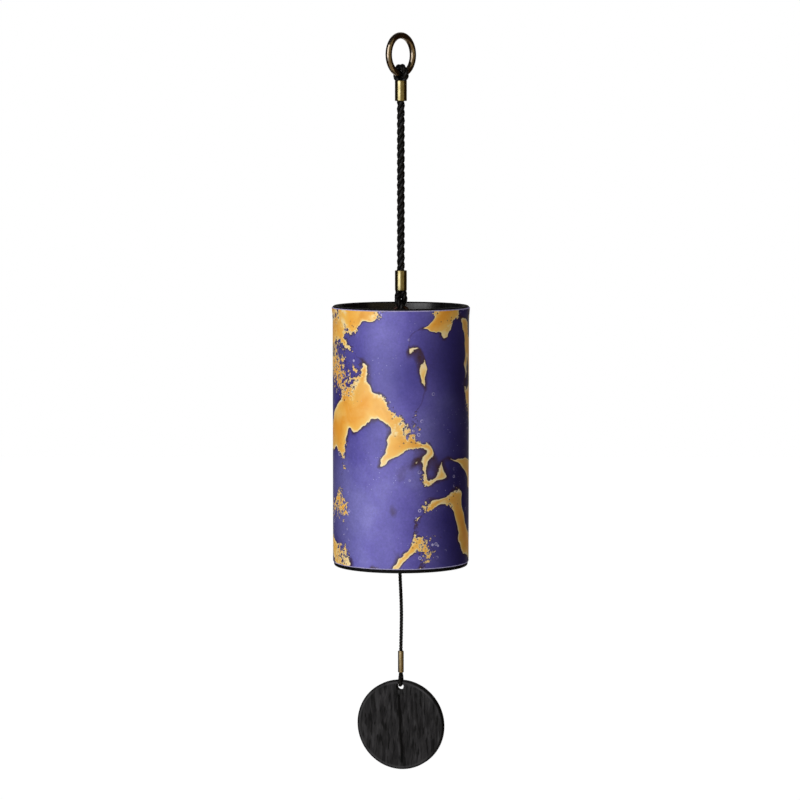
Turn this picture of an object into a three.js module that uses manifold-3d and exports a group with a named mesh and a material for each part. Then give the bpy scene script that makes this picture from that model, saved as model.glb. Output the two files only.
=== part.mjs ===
// Hanging tube chime: a ring, a rope with a crimped eye at each end, a printed tube that holds eight tuned
// rods on a plate, a striker hung among the rods, and a wooden wind sail on a thin cord.
// Millimetres, +Z up. The origin is where a hook carries the ring: the inside top of its wire.
import * as THREE from 'three';
import { mergeVertices } from 'three/addons/utils/BufferGeometryUtils.js';
import Module from 'manifold-3d';

// Clearances
const fitGap = 0.3; // between pieces that rest on or pass through each other
const cordFit = 0.2; // between a thin cord and the ferrule crimped on it
const glueGap = 0.1; // between the printed wrap and the tube
const beadGap = 0.4; // between the striker and the bead that rocks under it

// Hanging ring
const ringWire = 3.0;
const ringInner = 14.6;
const ringTurn = THREE.MathUtils.degToRad(51); // the ring's plane, turned about the vertical

// Hanger rope, with its ends doubled into eyes
const ropeDiameter = 3.3;
const ropeLength = 77.7; // bare rope between the ferrules
const eyeRope = 2.5; // the doubled rope is drawn thinner
const upperEyeNeck = 1.4; // from the ring's wire down to the ferrule
const upperEyeWrap = THREE.MathUtils.degToRad(42); // how far the legs follow the wire below its centre
const lowerEyeNeck = 6.4; // from the ferrule down to the bolt eye's wire
const lowerEyeStraight = 1.6; // the legs' straight start under the ferrule
const lowerLegGap = 0.4; // between the two legs under the ferrule

// Rope ferrules
const ferruleWall = 0.8;
const ferruleLength = 9.5;
const ferruleEdge = 0.35;

// Eye bolt through the plate
const boltEyeWire = 2.2;
const boltEyeInner = 5.4;
const boltShank = 4.0;
const boltChamfer = 0.4;
const collarRim = 1.2; // how far the collar stands out from the shank
const collarHeight = 1.6;
const crossHolePlay = 0.4; // spare room in the hole for the striker's loop
const crossHoleDrop = 3.6; // from the nut to the hole's centre
const boltEnd = 3.0; // from the hole's centre to the bolt's end

// Plate, washers and nut
const plateThickness = 3.0;
const plateEdge = 0.3;
const washerRim = 2.7;
const washerThickness = 0.8;
const washerEdge = 0.15;
const nutSides = 6;
const nutWall = 1.2;
const nutHeight = 2.8;

// Tube and its printed wrap
const tubeOuter = 62.1;
const tubeWall = 2.2;
const tubeLength = 120.6;
const plateDepth = 11.4; // from the tube's top rim to the plate
const rimRound = 0.8;
const topFlare = 0.45; // how far the top rim stands out
const flareHeight = 7.0;
const wrapThickness = 0.35;
const wrapTopInset = 0.7;
const wrapBottomInset = 1.75;
const wrapSeam = 0.5;

// Chime rods: round steel bars held at one end, each tuned by its free length
const rodDiameter = 3.0;
const rodInset = 7.35; // from the tube's inner wall to a rod's axis
const rodProud = 0.6; // how far a rod stands out of the plate's top
const rodChamfer = 0.3;
const brazeRim = 1.2;
const brazeWaist = 0.4; // the braze's rim halfway up
const brazeHeight = 1.8;
const soundSpeed = 5.05e6; // along a steel bar, mm/s
const firstModeFactor = 0.5596; // clamped bar, first bending mode
// The notes in Hz, in order round the plate: the next in pitch stands opposite
const rodNotes = [220.0, 277.2, 329.6, 392.0, 246.9, 293.7, 370.0, 440.0];

// Striker on its cord
const cordDiameter = 1.3;
const strikerSwing = 8.0; // free travel between the striker and a rod
const strikerThickness = 5.0;
const strikerEdge = 1.2;
const strikerNeck = 5.6; // from the bolt's end to the loop's bead
const strikerCordLength = 39.0; // from the loop bead's centre to the striker
const loopBend = 1.0; // bend of a thin cord's loop
const loopLegGap = 0.1; // between a loop's legs where they meet

// Beads on the cord
const beadHeight = 2.8;
const beadLip = 0.2; // wall at the mouth of the bore
const beadFlare = 0.2; // how far the bore opens at each end
const beadCordEnd = 0.5; // how far a cord's end stays from the bead's centre

// Sail cord: x and drop from the stop bead's centre, with its slight set
const sailCordRoute = [
  [0, 0.5],
  [0, 6],
  [-0.05, 12],
  [-0.1, 18],
  [-0.15, 24],
  [-0.25, 30],
  [-0.35, 36],
  [-0.4, 42],
  [-0.35, 48],
  [-0.1, 54],
  [0.15, 60],
  [0.25, 66],
  [0.2, 72],
  [0.08, 78],
  [0, 83.1],
  [0, 87.7],
];
const sailFerruleWall = 0.5;
const sailFerruleLength = 10.1;
const sailFerruleEdge = 0.12;
const sailCordInFerrule = 4.6;

// Wind sail
const sailDiameter = 41.9;
const sailThickness = 3.0;
const sailEdge = 0.8;
const sailHolePlay = 1.3; // spare room in the hole for the loop
const sailWeb = 1.2; // wood between the hole and the rim
const sailNeck = 3.6; // from the ferrule to the sail's rim
const sailTurn = THREE.MathUtils.degToRad(-18); // the sail's face, turned about the vertical

// Facets
const cordSides = 8;
const wireSides = 12;
const ringSides = 40;
const boltEyeSides = 24;
const fineSides = 56;
const turnedSides = 24;
const smallSides = 12;
const arcSteps = 2;
const flareSteps = 3;
const cordStep = 2.5; // length of a cord's step, in cord diameters
const bendStep = 0.45; // the same where the cord bends round something
const upperBightSteps = 12;
const lowerBightSteps = 8;
const lowerTurnSteps = 5;
const beadSteps = 5;
const edgeShare = 0.45; // the most of a wall that an edge's round takes up
const weldReach = 1e-4; // points nearer than this are one point

// Sizes that follow from the ones above
const ringRadius = (ringInner + ringWire) / 2;
const ferruleBore = ropeDiameter + 2 * fitGap;
const ferruleDiameter = ferruleBore + 2 * ferruleWall;
const boltBore = boltShank + 2 * fitGap; // in the plate, washers and nut
const boltEyeRadius = (boltEyeInner + boltEyeWire) / 2;
const crossHole = cordDiameter + 2 * fitGap + crossHolePlay;
const tubeBore = tubeOuter - 2 * tubeWall;
const rodCircle = tubeBore - 2 * rodInset;
const strikerDiameter = rodCircle - rodDiameter - 2 * strikerSwing;
const beadBore = cordDiameter + 2 * fitGap;
const beadMouth = beadBore + 2 * beadFlare;
const sailFerruleBore = cordDiameter + 2 * cordFit;
const sailFerruleDiameter = sailFerruleBore + 2 * sailFerruleWall;
const sailHole = cordDiameter + 2 * fitGap + sailHolePlay;

// Heights that follow, from the hook down
const ringBottom = -ringInner - ringWire / 2; // the lower wire's centre
const upperFerruleTop = ringBottom - ringWire / 2 - upperEyeNeck;
const upperFerruleBottom = upperFerruleTop - ferruleLength;
const lowerFerruleTop = upperFerruleBottom - ropeLength;
const lowerFerruleBottom = lowerFerruleTop - ferruleLength;
const boltEyeTop = lowerFerruleBottom - lowerEyeNeck - boltEyeWire / 2; // the bolt eye's upper wire centre
const collarTop = boltEyeTop - 2 * boltEyeRadius;
const upperWasherTop = collarTop - collarHeight - fitGap;
const plateTop = upperWasherTop - washerThickness - fitGap;
const plateBottom = plateTop - plateThickness;
const lowerWasherTop = plateBottom - fitGap;
const nutTop = lowerWasherTop - washerThickness - fitGap;
const nutBottom = nutTop - nutHeight;
const crossHoleHeight = nutBottom - crossHoleDrop;
const boltBottom = crossHoleHeight - boltEnd;
const tubeTop = plateTop + plateDepth;
const tubeBottom = tubeTop - tubeLength;
const strikerLoopTop = crossHoleHeight - crossHole / 2 + fitGap + cordDiameter / 2;
const loopBeadHeight = boltBottom - strikerNeck - beadHeight / 2;
const strikerTop = loopBeadHeight - strikerCordLength;
const strikerBottom = strikerTop - strikerThickness;
const stopBeadHeight = strikerBottom - beadGap - beadHeight / 2;
const sailCordEnd = stopBeadHeight - sailCordRoute[sailCordRoute.length - 1][1];
const sailFerruleTop = sailCordEnd + sailCordInFerrule;
const sailFerruleBottom = sailFerruleTop - sailFerruleLength;
const sailHoleHeight = sailFerruleBottom - sailNeck - sailWeb - sailHole / 2;
const sailLoopBottom = sailHoleHeight + sailHole / 2 - fitGap - cordDiameter / 2;

// Finishes
const finishes = {
  bronze: { color: 0x4b3a29, roughness: 0.35, metalness: 1 },
  brass: { color: 0x9c8446, roughness: 0.32, metalness: 1 },
  copper: { color: 0x8a5a44, roughness: 0.35, metalness: 1 },
  steel: { color: 0xa9abad, roughness: 0.3, metalness: 1 },
  cord: { color: 0x121113, roughness: 0.8, metalness: 0 },
  blackLacquer: { color: 0x151416, roughness: 0.45, metalness: 0 },
  print: { color: 0x5a4f9e, roughness: 0.5, metalness: 0 },
  paleWood: { color: 0xc19a63, roughness: 0.55, metalness: 0 },
  blackWood: { color: 0x1d1c1d, roughness: 0.65, metalness: 0 },
};

const wasm = await Module();
wasm.setup();

// A closed mesh with only its positions, its shared vertices merged.
function welded(geometry) {
  const bare = geometry.clone();
  bare.deleteAttribute('normal');
  bare.deleteAttribute('uv');
  return mergeVertices(bare, weldReach);
}

function toSolid(geometry) {
  const mesh = welded(geometry);
  const corners = mesh.index.array;
  const triangles = [];
  for (let i = 0; i < corners.length; i += 3) {
    const [a, b, c] = [corners[i], corners[i + 1], corners[i + 2]];
    if (a !== b && b !== c && c !== a) {
      triangles.push(a, b, c);
    }
  }
  const vertProperties = new Float32Array(mesh.attributes.position.array);
  const triVerts = new Uint32Array(triangles);
  return new wasm.Manifold(new wasm.Mesh({ numProp: 3, vertProperties, triVerts }));
}

function toGeometry(solid) {
  const mesh = solid.getMesh();
  const geometry = new THREE.BufferGeometry();
  geometry.setAttribute('position', new THREE.BufferAttribute(mesh.vertProperties, 3));
  geometry.setIndex(new THREE.BufferAttribute(mesh.triVerts, 1));
  geometry.computeVertexNormals();
  return geometry;
}

function piece(name, geometry, finish) {
  const mesh = new THREE.Mesh(geometry, new THREE.MeshStandardMaterial(finishes[finish]));
  mesh.name = name;
  return mesh;
}

// A profile of [radius, height] points turned about the Z axis.
function turned(profile, sides) {
  const points = profile.map(([radius, height]) => new THREE.Vector2(radius, height));
  return new THREE.LatheGeometry(points, sides).rotateX(Math.PI / 2);
}

// A quarter of a circle as profile points, from the given quarter turn to the next.
function quarterArc(radius, height, size, startQuarter) {
  const points = [];
  for (let step = 0; step <= arcSteps; step += 1) {
    const angle = (startQuarter + step / arcSteps) * (Math.PI / 2);
    points.push([radius + size * Math.cos(angle), height + size * Math.sin(angle)]);
  }
  return points;
}

// An edge's round takes up less than half of the wall that it is on.
function fittedEdge(edge, wall) {
  return Math.min(edge, wall * edgeShare);
}

// The profile of a tube's wall with its four corners rounded.
function roundedWall(inner, outer, bottom, top, edge) {
  const round = fittedEdge(edge, outer - inner);
  const profile = [
    ...quarterArc(outer - round, bottom + round, round, 3),
    ...quarterArc(outer - round, top - round, round, 0),
    ...quarterArc(inner + round, top - round, round, 1),
    ...quarterArc(inner + round, bottom + round, round, 2),
  ];
  return [...profile, profile[0]];
}

function cylinder(diameter, height, sides) {
  return new THREE.CylinderGeometry(diameter / 2, diameter / 2, height, sides).rotateX(Math.PI / 2);
}

// A round cord along a list of [x, y, z] points, with steps of the given number of diameters.
function cordTube(points, diameter, stepLength) {
  const corners = [];
  for (let side = 0; side < cordSides; side += 1) {
    const angle = ((side + 0.5) / cordSides) * 2 * Math.PI;
    corners.push(new THREE.Vector2(Math.cos(angle), Math.sin(angle)).multiplyScalar(diameter / 2));
  }
  const extrudePath = new THREE.CatmullRomCurve3(points.map((point) => new THREE.Vector3(...point)));
  const steps = Math.ceil(extrudePath.getLength() / (stepLength * diameter));
  return new THREE.ExtrudeGeometry(new THREE.Shape(corners), { steps, extrudePath });
}

// The cord's end inside a ferrule or bead.
function cordCore(diameter, bottom, top) {
  const height = top - bottom;
  return cylinder(diameter, height, cordSides).translate(0, 0, bottom + height / 2);
}

function wireRing(radius, wire, sides) {
  return new THREE.TorusGeometry(radius, wire / 2, wireSides, sides).rotateX(Math.PI / 2);
}

function hangingRing() {
  return wireRing(ringRadius, ringWire, ringSides).translate(0, 0, ringBottom + ringRadius);
}

// The eye round the ring's wire: a bight whose legs close in on the ferrule, cut level above it,
// and the rope's pressed core inside the ferrule.
function upperEye() {
  const bend = ringWire / 2 + fitGap + eyeRope / 2;
  const sweep = Math.PI + 2 * upperEyeWrap;
  const drop = ringBottom - upperFerruleTop;
  const legLength = (drop - bend * Math.sin(upperEyeWrap)) / Math.cos(upperEyeWrap);
  const legEnd = bend * Math.cos(upperEyeWrap) - legLength * Math.sin(upperEyeWrap);
  const points = [[legEnd, 0, upperFerruleTop]];
  for (let step = 0; step <= upperBightSteps; step += 1) {
    const angle = -upperEyeWrap + (sweep * step) / upperBightSteps;
    points.push([bend * Math.cos(angle), 0, ringBottom + bend * Math.sin(angle)]);
  }
  points.push([-legEnd, 0, upperFerruleTop]);
  const cut = 4 * bend; // a block wider than both legs
  const below = new THREE.BoxGeometry(cut, cut, cut).translate(0, 0, upperFerruleTop + fitGap - cut / 2);
  const coreTop = ringBottom - ringWire / 2 - fitGap;
  const coreBottom = upperFerruleTop - ferruleLength / 2 + fitGap / 2;
  const bight = toSolid(cordTube(points, eyeRope, bendStep)).subtract(toSolid(below));
  return toGeometry(bight.add(toSolid(cordCore(ropeDiameter, coreBottom, coreTop))));
}

function ropeFerrule(top) {
  const wall = roundedWall(ferruleBore / 2, ferruleDiameter / 2, top - ferruleLength, top, ferruleEdge);
  return turned(wall, turnedSides);
}

// The bare rope, with its ends inside the two ferrules.
function hangerRope() {
  const top = upperFerruleTop - ferruleLength / 2 - fitGap / 2;
  const bottom = lowerFerruleBottom + ferruleLength / 2 + fitGap / 2;
  return cordTube([[0, 0, top], [0, 0, bottom]], ropeDiameter, cordStep);
}

// The eye on the bolt: two legs side by side under the ferrule, turned a quarter on their way down, so that
// the bight lies across the bolt eye's wire.
function lowerEye() {
  const bend = boltEyeWire / 2 + fitGap + eyeRope / 2;
  const legRadius = (eyeRope + lowerLegGap) / 2;
  const legTop = lowerFerruleBottom - fitGap;
  const turnTop = legTop - lowerEyeStraight;
  const leg = [[legRadius, 0, legTop]];
  for (let step = 0; step < lowerTurnSteps; step += 1) {
    const share = THREE.MathUtils.smoothstep(step, 0, lowerTurnSteps);
    const angle = share * (Math.PI / 2);
    const radius = THREE.MathUtils.lerp(legRadius, bend, share);
    const height = THREE.MathUtils.lerp(turnTop, boltEyeTop, step / lowerTurnSteps);
    leg.push([radius * Math.cos(angle), radius * Math.sin(angle), height]);
  }
  const bight = [];
  for (let step = 0; step <= lowerBightSteps; step += 1) {
    const angle = (Math.PI * step) / lowerBightSteps;
    bight.push([0, bend * Math.cos(angle), boltEyeTop - bend * Math.sin(angle)]);
  }
  const otherLeg = leg.map(([x, y, z]) => [-x, -y, z]).reverse();
  const coreTop = lowerFerruleBottom + ferruleLength / 2 - fitGap / 2;
  const loop = toSolid(cordTube([...leg, ...bight, ...otherLeg], eyeRope, bendStep));
  return toGeometry(loop.add(toSolid(cordCore(ropeDiameter, turnTop, coreTop))));
}

// The eye bolt: a wire eye on a collar, a shank through the plate and a cross hole near its end.
function eyeBolt() {
  const eye = wireRing(boltEyeRadius, boltEyeWire, boltEyeSides).translate(0, 0, boltEyeTop - boltEyeRadius);
  const collarBottom = collarTop - collarHeight;
  const collarRadius = boltShank / 2 + collarRim;
  const chamfer = fittedEdge(boltChamfer, boltShank / 2);
  const shank = turned(
    [
      [0, boltBottom],
      [boltShank / 2 - chamfer, boltBottom],
      [boltShank / 2, boltBottom + chamfer],
      [boltShank / 2, collarBottom],
      [collarRadius, collarBottom],
      [collarRadius, collarTop - collarHeight / 2],
      [boltEyeWire / 2, collarTop],
      [0, collarTop],
    ],
    turnedSides,
  );
  const hole = cylinder(crossHole, boltShank * 2, smallSides).rotateY(Math.PI / 2);
  hole.translate(0, 0, crossHoleHeight);
  return toGeometry(toSolid(eye).add(toSolid(shank)).subtract(toSolid(hole)));
}

function washer(top) {
  const inner = boltBore / 2;
  const outer = inner + washerRim;
  const bottom = top - washerThickness;
  const edge = fittedEdge(washerEdge, washerThickness);
  const profile = [
    [inner, bottom],
    [outer - edge, bottom],
    [outer, bottom + edge],
    [outer, top - edge],
    [outer - edge, top],
    [inner, top],
  ];
  return turned([...profile, profile[0]], turnedSides);
}

// A hexagon nut with its corners turned off at both ends.
function plateNut() {
  const flat = boltBore / 2 + nutWall;
  const corner = flat / Math.cos(Math.PI / nutSides);
  const bevel = corner - flat;
  const hexagon = new THREE.CylinderGeometry(corner, corner, nutHeight, nutSides).rotateX(Math.PI / 2);
  const turnedOff = turned(
    [
      [0, -nutHeight / 2],
      [flat, -nutHeight / 2],
      [corner + bevel, -nutHeight / 2 + bevel],
      [corner + bevel, nutHeight / 2 - bevel],
      [flat, nutHeight / 2],
      [0, nutHeight / 2],
    ],
    turnedSides,
  );
  const bore = cylinder(boltBore, nutHeight * 2, turnedSides);
  const nut = toSolid(hexagon).intersect(toSolid(turnedOff)).subtract(toSolid(bore));
  return toGeometry(nut).translate(0, 0, nutTop - nutHeight / 2);
}

function rodPlace(index) {
  const angle = ((index + 0.5) / rodNotes.length) * 2 * Math.PI;
  return [(rodCircle / 2) * Math.cos(angle), (rodCircle / 2) * Math.sin(angle)];
}

// The round plate, drilled for the bolt and the rods.
function chimePlate() {
  const radius = tubeBore / 2 - fitGap;
  const middle = plateTop - plateThickness / 2;
  const edge = fittedEdge(plateEdge, plateThickness);
  const blank = turned(
    [
      [0, plateBottom],
      [radius - edge, plateBottom],
      [radius, plateBottom + edge],
      [radius, plateTop - edge],
      [radius - edge, plateTop],
      [0, plateTop],
    ],
    fineSides,
  );
  const boltHole = cylinder(boltBore, plateThickness * 2, turnedSides).translate(0, 0, middle);
  let plate = toSolid(blank).subtract(toSolid(boltHole));
  rodNotes.forEach((note, index) => {
    const [x, y] = rodPlace(index);
    const rodHole = cylinder(rodDiameter + 2 * fitGap, plateThickness * 2, smallSides);
    plate = plate.subtract(toSolid(rodHole.translate(x, y, middle)));
  });
  return toGeometry(plate);
}

// A rod cut to its note, with its braze drawn up under the plate.
function chimeRod(note) {
  const freeLength = Math.sqrt((firstModeFactor * (rodDiameter / 4) * soundSpeed) / note);
  const radius = rodDiameter / 2;
  const chamfer = fittedEdge(rodChamfer, radius);
  const brazeTop = plateBottom - fitGap;
  const end = plateBottom - freeLength;
  const top = plateTop + rodProud;
  return turned(
    [
      [0, end],
      [radius - chamfer, end],
      [radius, end + chamfer],
      [radius, brazeTop - brazeHeight],
      [radius + brazeWaist, brazeTop - brazeHeight / 2],
      [radius + brazeRim, brazeTop],
      [radius, brazeTop],
      [radius, top - chamfer],
      [radius - chamfer, top],
      [0, top],
    ],
    smallSides,
  );
}

// The tube's outside, which stands out a little towards its top rim.
function tubeRadius(height) {
  return tubeOuter / 2 + topFlare * THREE.MathUtils.smoothstep(height, tubeTop - flareHeight, tubeTop);
}

// Heights along the tube's flare, up to the given one.
function flareHeights(top) {
  const start = tubeTop - flareHeight;
  const heights = [];
  for (let step = 0; step <= flareSteps; step += 1) {
    heights.push(THREE.MathUtils.lerp(start, top, step / flareSteps));
  }
  return heights;
}

function resonatorTube() {
  const inner = tubeBore / 2;
  const round = fittedEdge(rimRound, tubeWall);
  const flare = flareHeights(tubeTop - round).slice(0, -1);
  const profile = [
    ...quarterArc(tubeOuter / 2 - round, tubeBottom + round, round, 3),
    ...flare.map((height) => [tubeRadius(height), height]),
    ...quarterArc(tubeRadius(tubeTop - round) - round, tubeTop - round, round, 0),
    ...quarterArc(inner + round, tubeTop - round, round, 1),
    ...quarterArc(inner + round, tubeBottom + round, round, 2),
  ];
  return turned([...profile, profile[0]], fineSides);
}

// The printed sheet round the tube, open along a seam at the back.
function printedWrap() {
  const heights = [tubeBottom + wrapBottomInset, ...flareHeights(tubeTop - wrapTopInset)];
  const outside = heights.map((height) => [tubeRadius(height) + glueGap + wrapThickness, height]);
  const inside = heights.map((height) => [tubeRadius(height) + glueGap, height]).reverse();
  const sleeve = turned([...outside, ...inside, outside[0]], fineSides);
  const seam = new THREE.BoxGeometry(wrapSeam, tubeOuter, tubeLength * 2);
  seam.translate(0, tubeOuter / 2, tubeTop);
  return toGeometry(toSolid(sleeve).subtract(toSolid(seam)));
}

// A thin cord's loop in its X Z plane: level across a hole, round both sides of what it passes through, and
// together at its ends. reach is half its width, apart the height up to which the legs stay that wide.
function loopPoints(reach, apart, height) {
  const together = (cordDiameter + loopLegGap) / 2;
  const bend = Math.min(loopBend, reach / 2);
  const cornerIn = bend * (1 - Math.SQRT1_2);
  const half = [
    [together, height],
    [together, height - cordDiameter / 2],
    [reach, apart],
    [reach, bend],
    [reach - cornerIn, cornerIn],
    [reach - bend, 0],
  ];
  const whole = [...half, ...half.map(([x, z]) => [-x, z]).reverse()];
  return whole.map(([x, z]) => [x, 0, z]);
}

// A loop with its ends joined in a core that goes on to coreEnd; its crossing is at the origin.
function cordLoop(reach, apart, height, coreEnd) {
  const core = cordCore(cordDiameter, height - cordDiameter, coreEnd);
  const loop = toSolid(cordTube(loopPoints(reach, apart, height), cordDiameter, bendStep));
  return toGeometry(loop.add(toSolid(core)));
}

// The loop through the bolt, which hangs down.
function strikerLoop() {
  const reach = boltShank / 2 + fitGap + cordDiameter / 2;
  const apart = strikerLoopTop - boltBottom + cordDiameter / 2;
  const height = strikerLoopTop - loopBeadHeight - beadHeight / 2 - fitGap;
  const coreEnd = strikerLoopTop - loopBeadHeight - beadCordEnd;
  return cordLoop(reach, apart, height, coreEnd).rotateX(Math.PI);
}

// A round bead with its bore opened at both ends.
function bead(centre) {
  const half = beadHeight / 2;
  const radius = Math.hypot(beadMouth / 2 + beadLip, half);
  const profile = [];
  for (let step = 0; step <= beadSteps; step += 1) {
    const height = THREE.MathUtils.lerp(-half, half, step / beadSteps);
    profile.push([Math.sqrt(radius ** 2 - height ** 2), centre + height]);
  }
  profile.push([beadMouth / 2, centre + half]);
  profile.push([beadBore / 2, centre]);
  profile.push([beadMouth / 2, centre - half]);
  return turned([...profile, profile[0]], smallSides);
}

function strikerCord() {
  const top = loopBeadHeight - beadCordEnd;
  const bottom = stopBeadHeight + beadCordEnd;
  return cordTube([[0, 0, top], [0, 0, bottom]], cordDiameter, cordStep);
}

function strikerDisc() {
  const bore = cordDiameter / 2 + fitGap;
  const outer = strikerDiameter / 2;
  const round = fittedEdge(strikerEdge, strikerThickness);
  const profile = [
    [bore, strikerBottom],
    ...quarterArc(outer - round, strikerBottom + round, round, 3),
    ...quarterArc(outer - round, strikerTop - round, round, 0),
    [bore, strikerTop],
  ];
  return turned([...profile, profile[0]], turnedSides);
}

function sailCord() {
  const points = sailCordRoute.map(([x, drop]) => [x, 0, stopBeadHeight - drop]);
  return cordTube(points, cordDiameter, cordStep);
}

function sailFerrule() {
  const outer = sailFerruleDiameter / 2;
  const wall = roundedWall(sailFerruleBore / 2, outer, sailFerruleBottom, sailFerruleTop, sailFerruleEdge);
  return turned(wall, smallSides);
}

// The loop through the sail, which stands up to its ferrule.
function sailLoop() {
  const reach = sailThickness / 2 + fitGap + cordDiameter / 2;
  const apart = sailHoleHeight + sailHole / 2 + sailWeb - sailLoopBottom;
  const height = sailFerruleBottom - fitGap - sailLoopBottom;
  const coreEnd = sailCordEnd - fitGap - sailLoopBottom;
  return cordLoop(reach, apart, height, coreEnd);
}

// The sail: a round disc with soft edges, hung by a small hole near its rim. The hole is at the origin.
function windSail() {
  const half = sailThickness / 2;
  const outer = sailDiameter / 2;
  const round = fittedEdge(sailEdge, sailThickness);
  const profile = [
    [0, -half],
    ...quarterArc(outer - round, -half + round, round, 3),
    ...quarterArc(outer - round, half - round, round, 0),
    [0, half],
  ];
  const disc = turned(profile, fineSides).translate(0, outer - sailHole / 2 - sailWeb, 0);
  const hole = cylinder(sailHole, sailThickness * 2, smallSides);
  return toGeometry(toSolid(disc).subtract(toSolid(hole))).rotateX(-Math.PI / 2);
}

// The ring, and the rope's eye across its wire
const hanger = new THREE.Group();
hanger.rotation.z = ringTurn;
hanger.add(piece('hanging_ring', hangingRing(), 'bronze'));
const upperEyePiece = piece('rope_upper_eye', upperEye(), 'cord');
upperEyePiece.rotation.z = Math.PI / 2;
hanger.add(upperEyePiece);

// The rope and its ferrules
const rope = new THREE.Group();
rope.add(piece('upper_ferrule', ropeFerrule(upperFerruleTop), 'brass'));
rope.add(piece('hanger_rope', hangerRope(), 'cord'));
rope.add(piece('lower_ferrule', ropeFerrule(lowerFerruleTop), 'brass'));
rope.add(piece('rope_lower_eye', lowerEye(), 'cord'));

// The tube with its plate and rods
const resonator = new THREE.Group();
resonator.add(piece('eye_bolt', eyeBolt(), 'copper'));
resonator.add(piece('upper_washer', washer(upperWasherTop), 'steel'));
resonator.add(piece('chime_plate', chimePlate(), 'steel'));
resonator.add(piece('lower_washer', washer(lowerWasherTop), 'steel'));
resonator.add(piece('plate_nut', plateNut(), 'steel'));
rodNotes.forEach((note, index) => {
  const rod = piece(`chime_rod_${index + 1}`, chimeRod(note), 'steel');
  const [x, y] = rodPlace(index);
  rod.position.set(x, y, 0);
  resonator.add(rod);
});
resonator.add(piece('resonator_tube', resonatorTube(), 'blackLacquer'));
resonator.add(piece('printed_wrap', printedWrap(), 'print'));

// The striker, hung on a loop through the bolt
const striker = new THREE.Group();
const strikerLoopPiece = piece('striker_loop', strikerLoop(), 'cord');
strikerLoopPiece.position.z = strikerLoopTop;
striker.add(strikerLoopPiece);
striker.add(piece('loop_bead', bead(loopBeadHeight), 'brass'));
striker.add(piece('striker_cord', strikerCord(), 'cord'));
striker.add(piece('striker_disc', strikerDisc(), 'paleWood'));
striker.add(piece('stop_bead', bead(stopBeadHeight), 'brass'));

// The sail's cord and ferrule, and the sail with its loop
const sailLine = new THREE.Group();
sailLine.add(piece('sail_cord', sailCord(), 'cord'));
sailLine.add(piece('sail_ferrule', sailFerrule(), 'brass'));
const sail = new THREE.Group();
sail.rotation.z = sailTurn;
const sailLoopPiece = piece('sail_loop', sailLoop(), 'cord');
sailLoopPiece.position.z = sailLoopBottom;
sailLoopPiece.rotation.z = Math.PI / 2;
sail.add(sailLoopPiece);
const sailPiece = piece('wind_sail', windSail(), 'blackWood');
sailPiece.position.z = sailHoleHeight;
sail.add(sailPiece);

const chime = new THREE.Group();
chime.add(hanger, rope, resonator, striker, sailLine, sail);

export default chime;
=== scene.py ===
import math

import bmesh
import bpy
from mathutils import Matrix, Vector, noise


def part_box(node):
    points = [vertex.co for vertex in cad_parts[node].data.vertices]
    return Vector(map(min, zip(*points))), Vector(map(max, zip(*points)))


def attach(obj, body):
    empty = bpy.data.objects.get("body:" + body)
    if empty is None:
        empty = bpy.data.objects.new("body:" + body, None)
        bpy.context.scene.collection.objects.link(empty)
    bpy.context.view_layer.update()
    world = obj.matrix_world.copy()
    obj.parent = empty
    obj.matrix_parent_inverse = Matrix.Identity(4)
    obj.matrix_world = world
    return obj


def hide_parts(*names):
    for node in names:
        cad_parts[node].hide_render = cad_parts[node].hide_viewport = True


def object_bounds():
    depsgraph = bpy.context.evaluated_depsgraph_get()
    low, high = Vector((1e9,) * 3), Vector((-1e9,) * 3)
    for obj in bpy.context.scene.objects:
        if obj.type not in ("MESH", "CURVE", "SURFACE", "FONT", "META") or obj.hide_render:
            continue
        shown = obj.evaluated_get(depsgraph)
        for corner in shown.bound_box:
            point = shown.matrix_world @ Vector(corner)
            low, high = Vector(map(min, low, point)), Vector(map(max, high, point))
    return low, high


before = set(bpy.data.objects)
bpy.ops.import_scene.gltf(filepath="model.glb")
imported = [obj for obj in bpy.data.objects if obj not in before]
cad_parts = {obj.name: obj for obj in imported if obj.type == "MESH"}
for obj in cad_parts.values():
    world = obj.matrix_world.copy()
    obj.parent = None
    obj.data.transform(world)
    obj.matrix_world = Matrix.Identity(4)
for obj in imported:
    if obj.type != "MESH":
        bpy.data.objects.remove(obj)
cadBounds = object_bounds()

scene = bpy.context.scene
scene.view_settings.view_transform = "Standard"
mm = 0.001  # shapes are worked out in millimetres and made in metres
ringTurn = 51  # degrees about the vertical; the rope's upper eye follows it
sailTurn = -18  # the loop in the sail's hole follows it


def span(node):  # a CAD node's lowest and highest corner, in millimetres
    low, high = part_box(node)
    return low / mm, high / mm


def mix(a, b, share):
    return a + (b - a) * share


def ease(value, start, end):  # 0 before start, 1 after end, smooth between
    share = min(1, max(0, (value - start) / (end - start)))
    return share * share * (3 - 2 * share)


def stepped(start, end, steps):  # even steps from start to end
    return [mix(start, end, step / steps) for step in range(steps + 1)]


def spoke(reach, angle):  # the two coordinates of a point on a circle
    return reach * math.cos(angle), reach * math.sin(angle)


# The viewpoint that the tube's two rims give
viewpoint = {
    "away": 1550,
    "aside": -0.4,
    "height": -32.3,  # from the hook
    "lookDown": 4.94,  # degrees
    "focalPixels": 3362,
    "framePixels": 800,
    "sensor": 36,
    "nearest": 10,
}


def placeCamera():
    lens = bpy.data.cameras.new("viewpoint")
    lens.sensor_width = viewpoint["sensor"]
    lens.lens = viewpoint["sensor"] * viewpoint["focalPixels"] / viewpoint["framePixels"]
    lens.clip_start = viewpoint["nearest"] * mm
    camera = bpy.data.objects.new("viewpoint", lens)
    spot = Vector((viewpoint["aside"], -viewpoint["away"], viewpoint["height"]))
    camera.location = spot * mm
    camera.rotation_euler = (math.radians(90 - viewpoint["lookDown"]), 0, 0)
    scene.collection.objects.link(camera)
    scene.camera = camera


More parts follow.
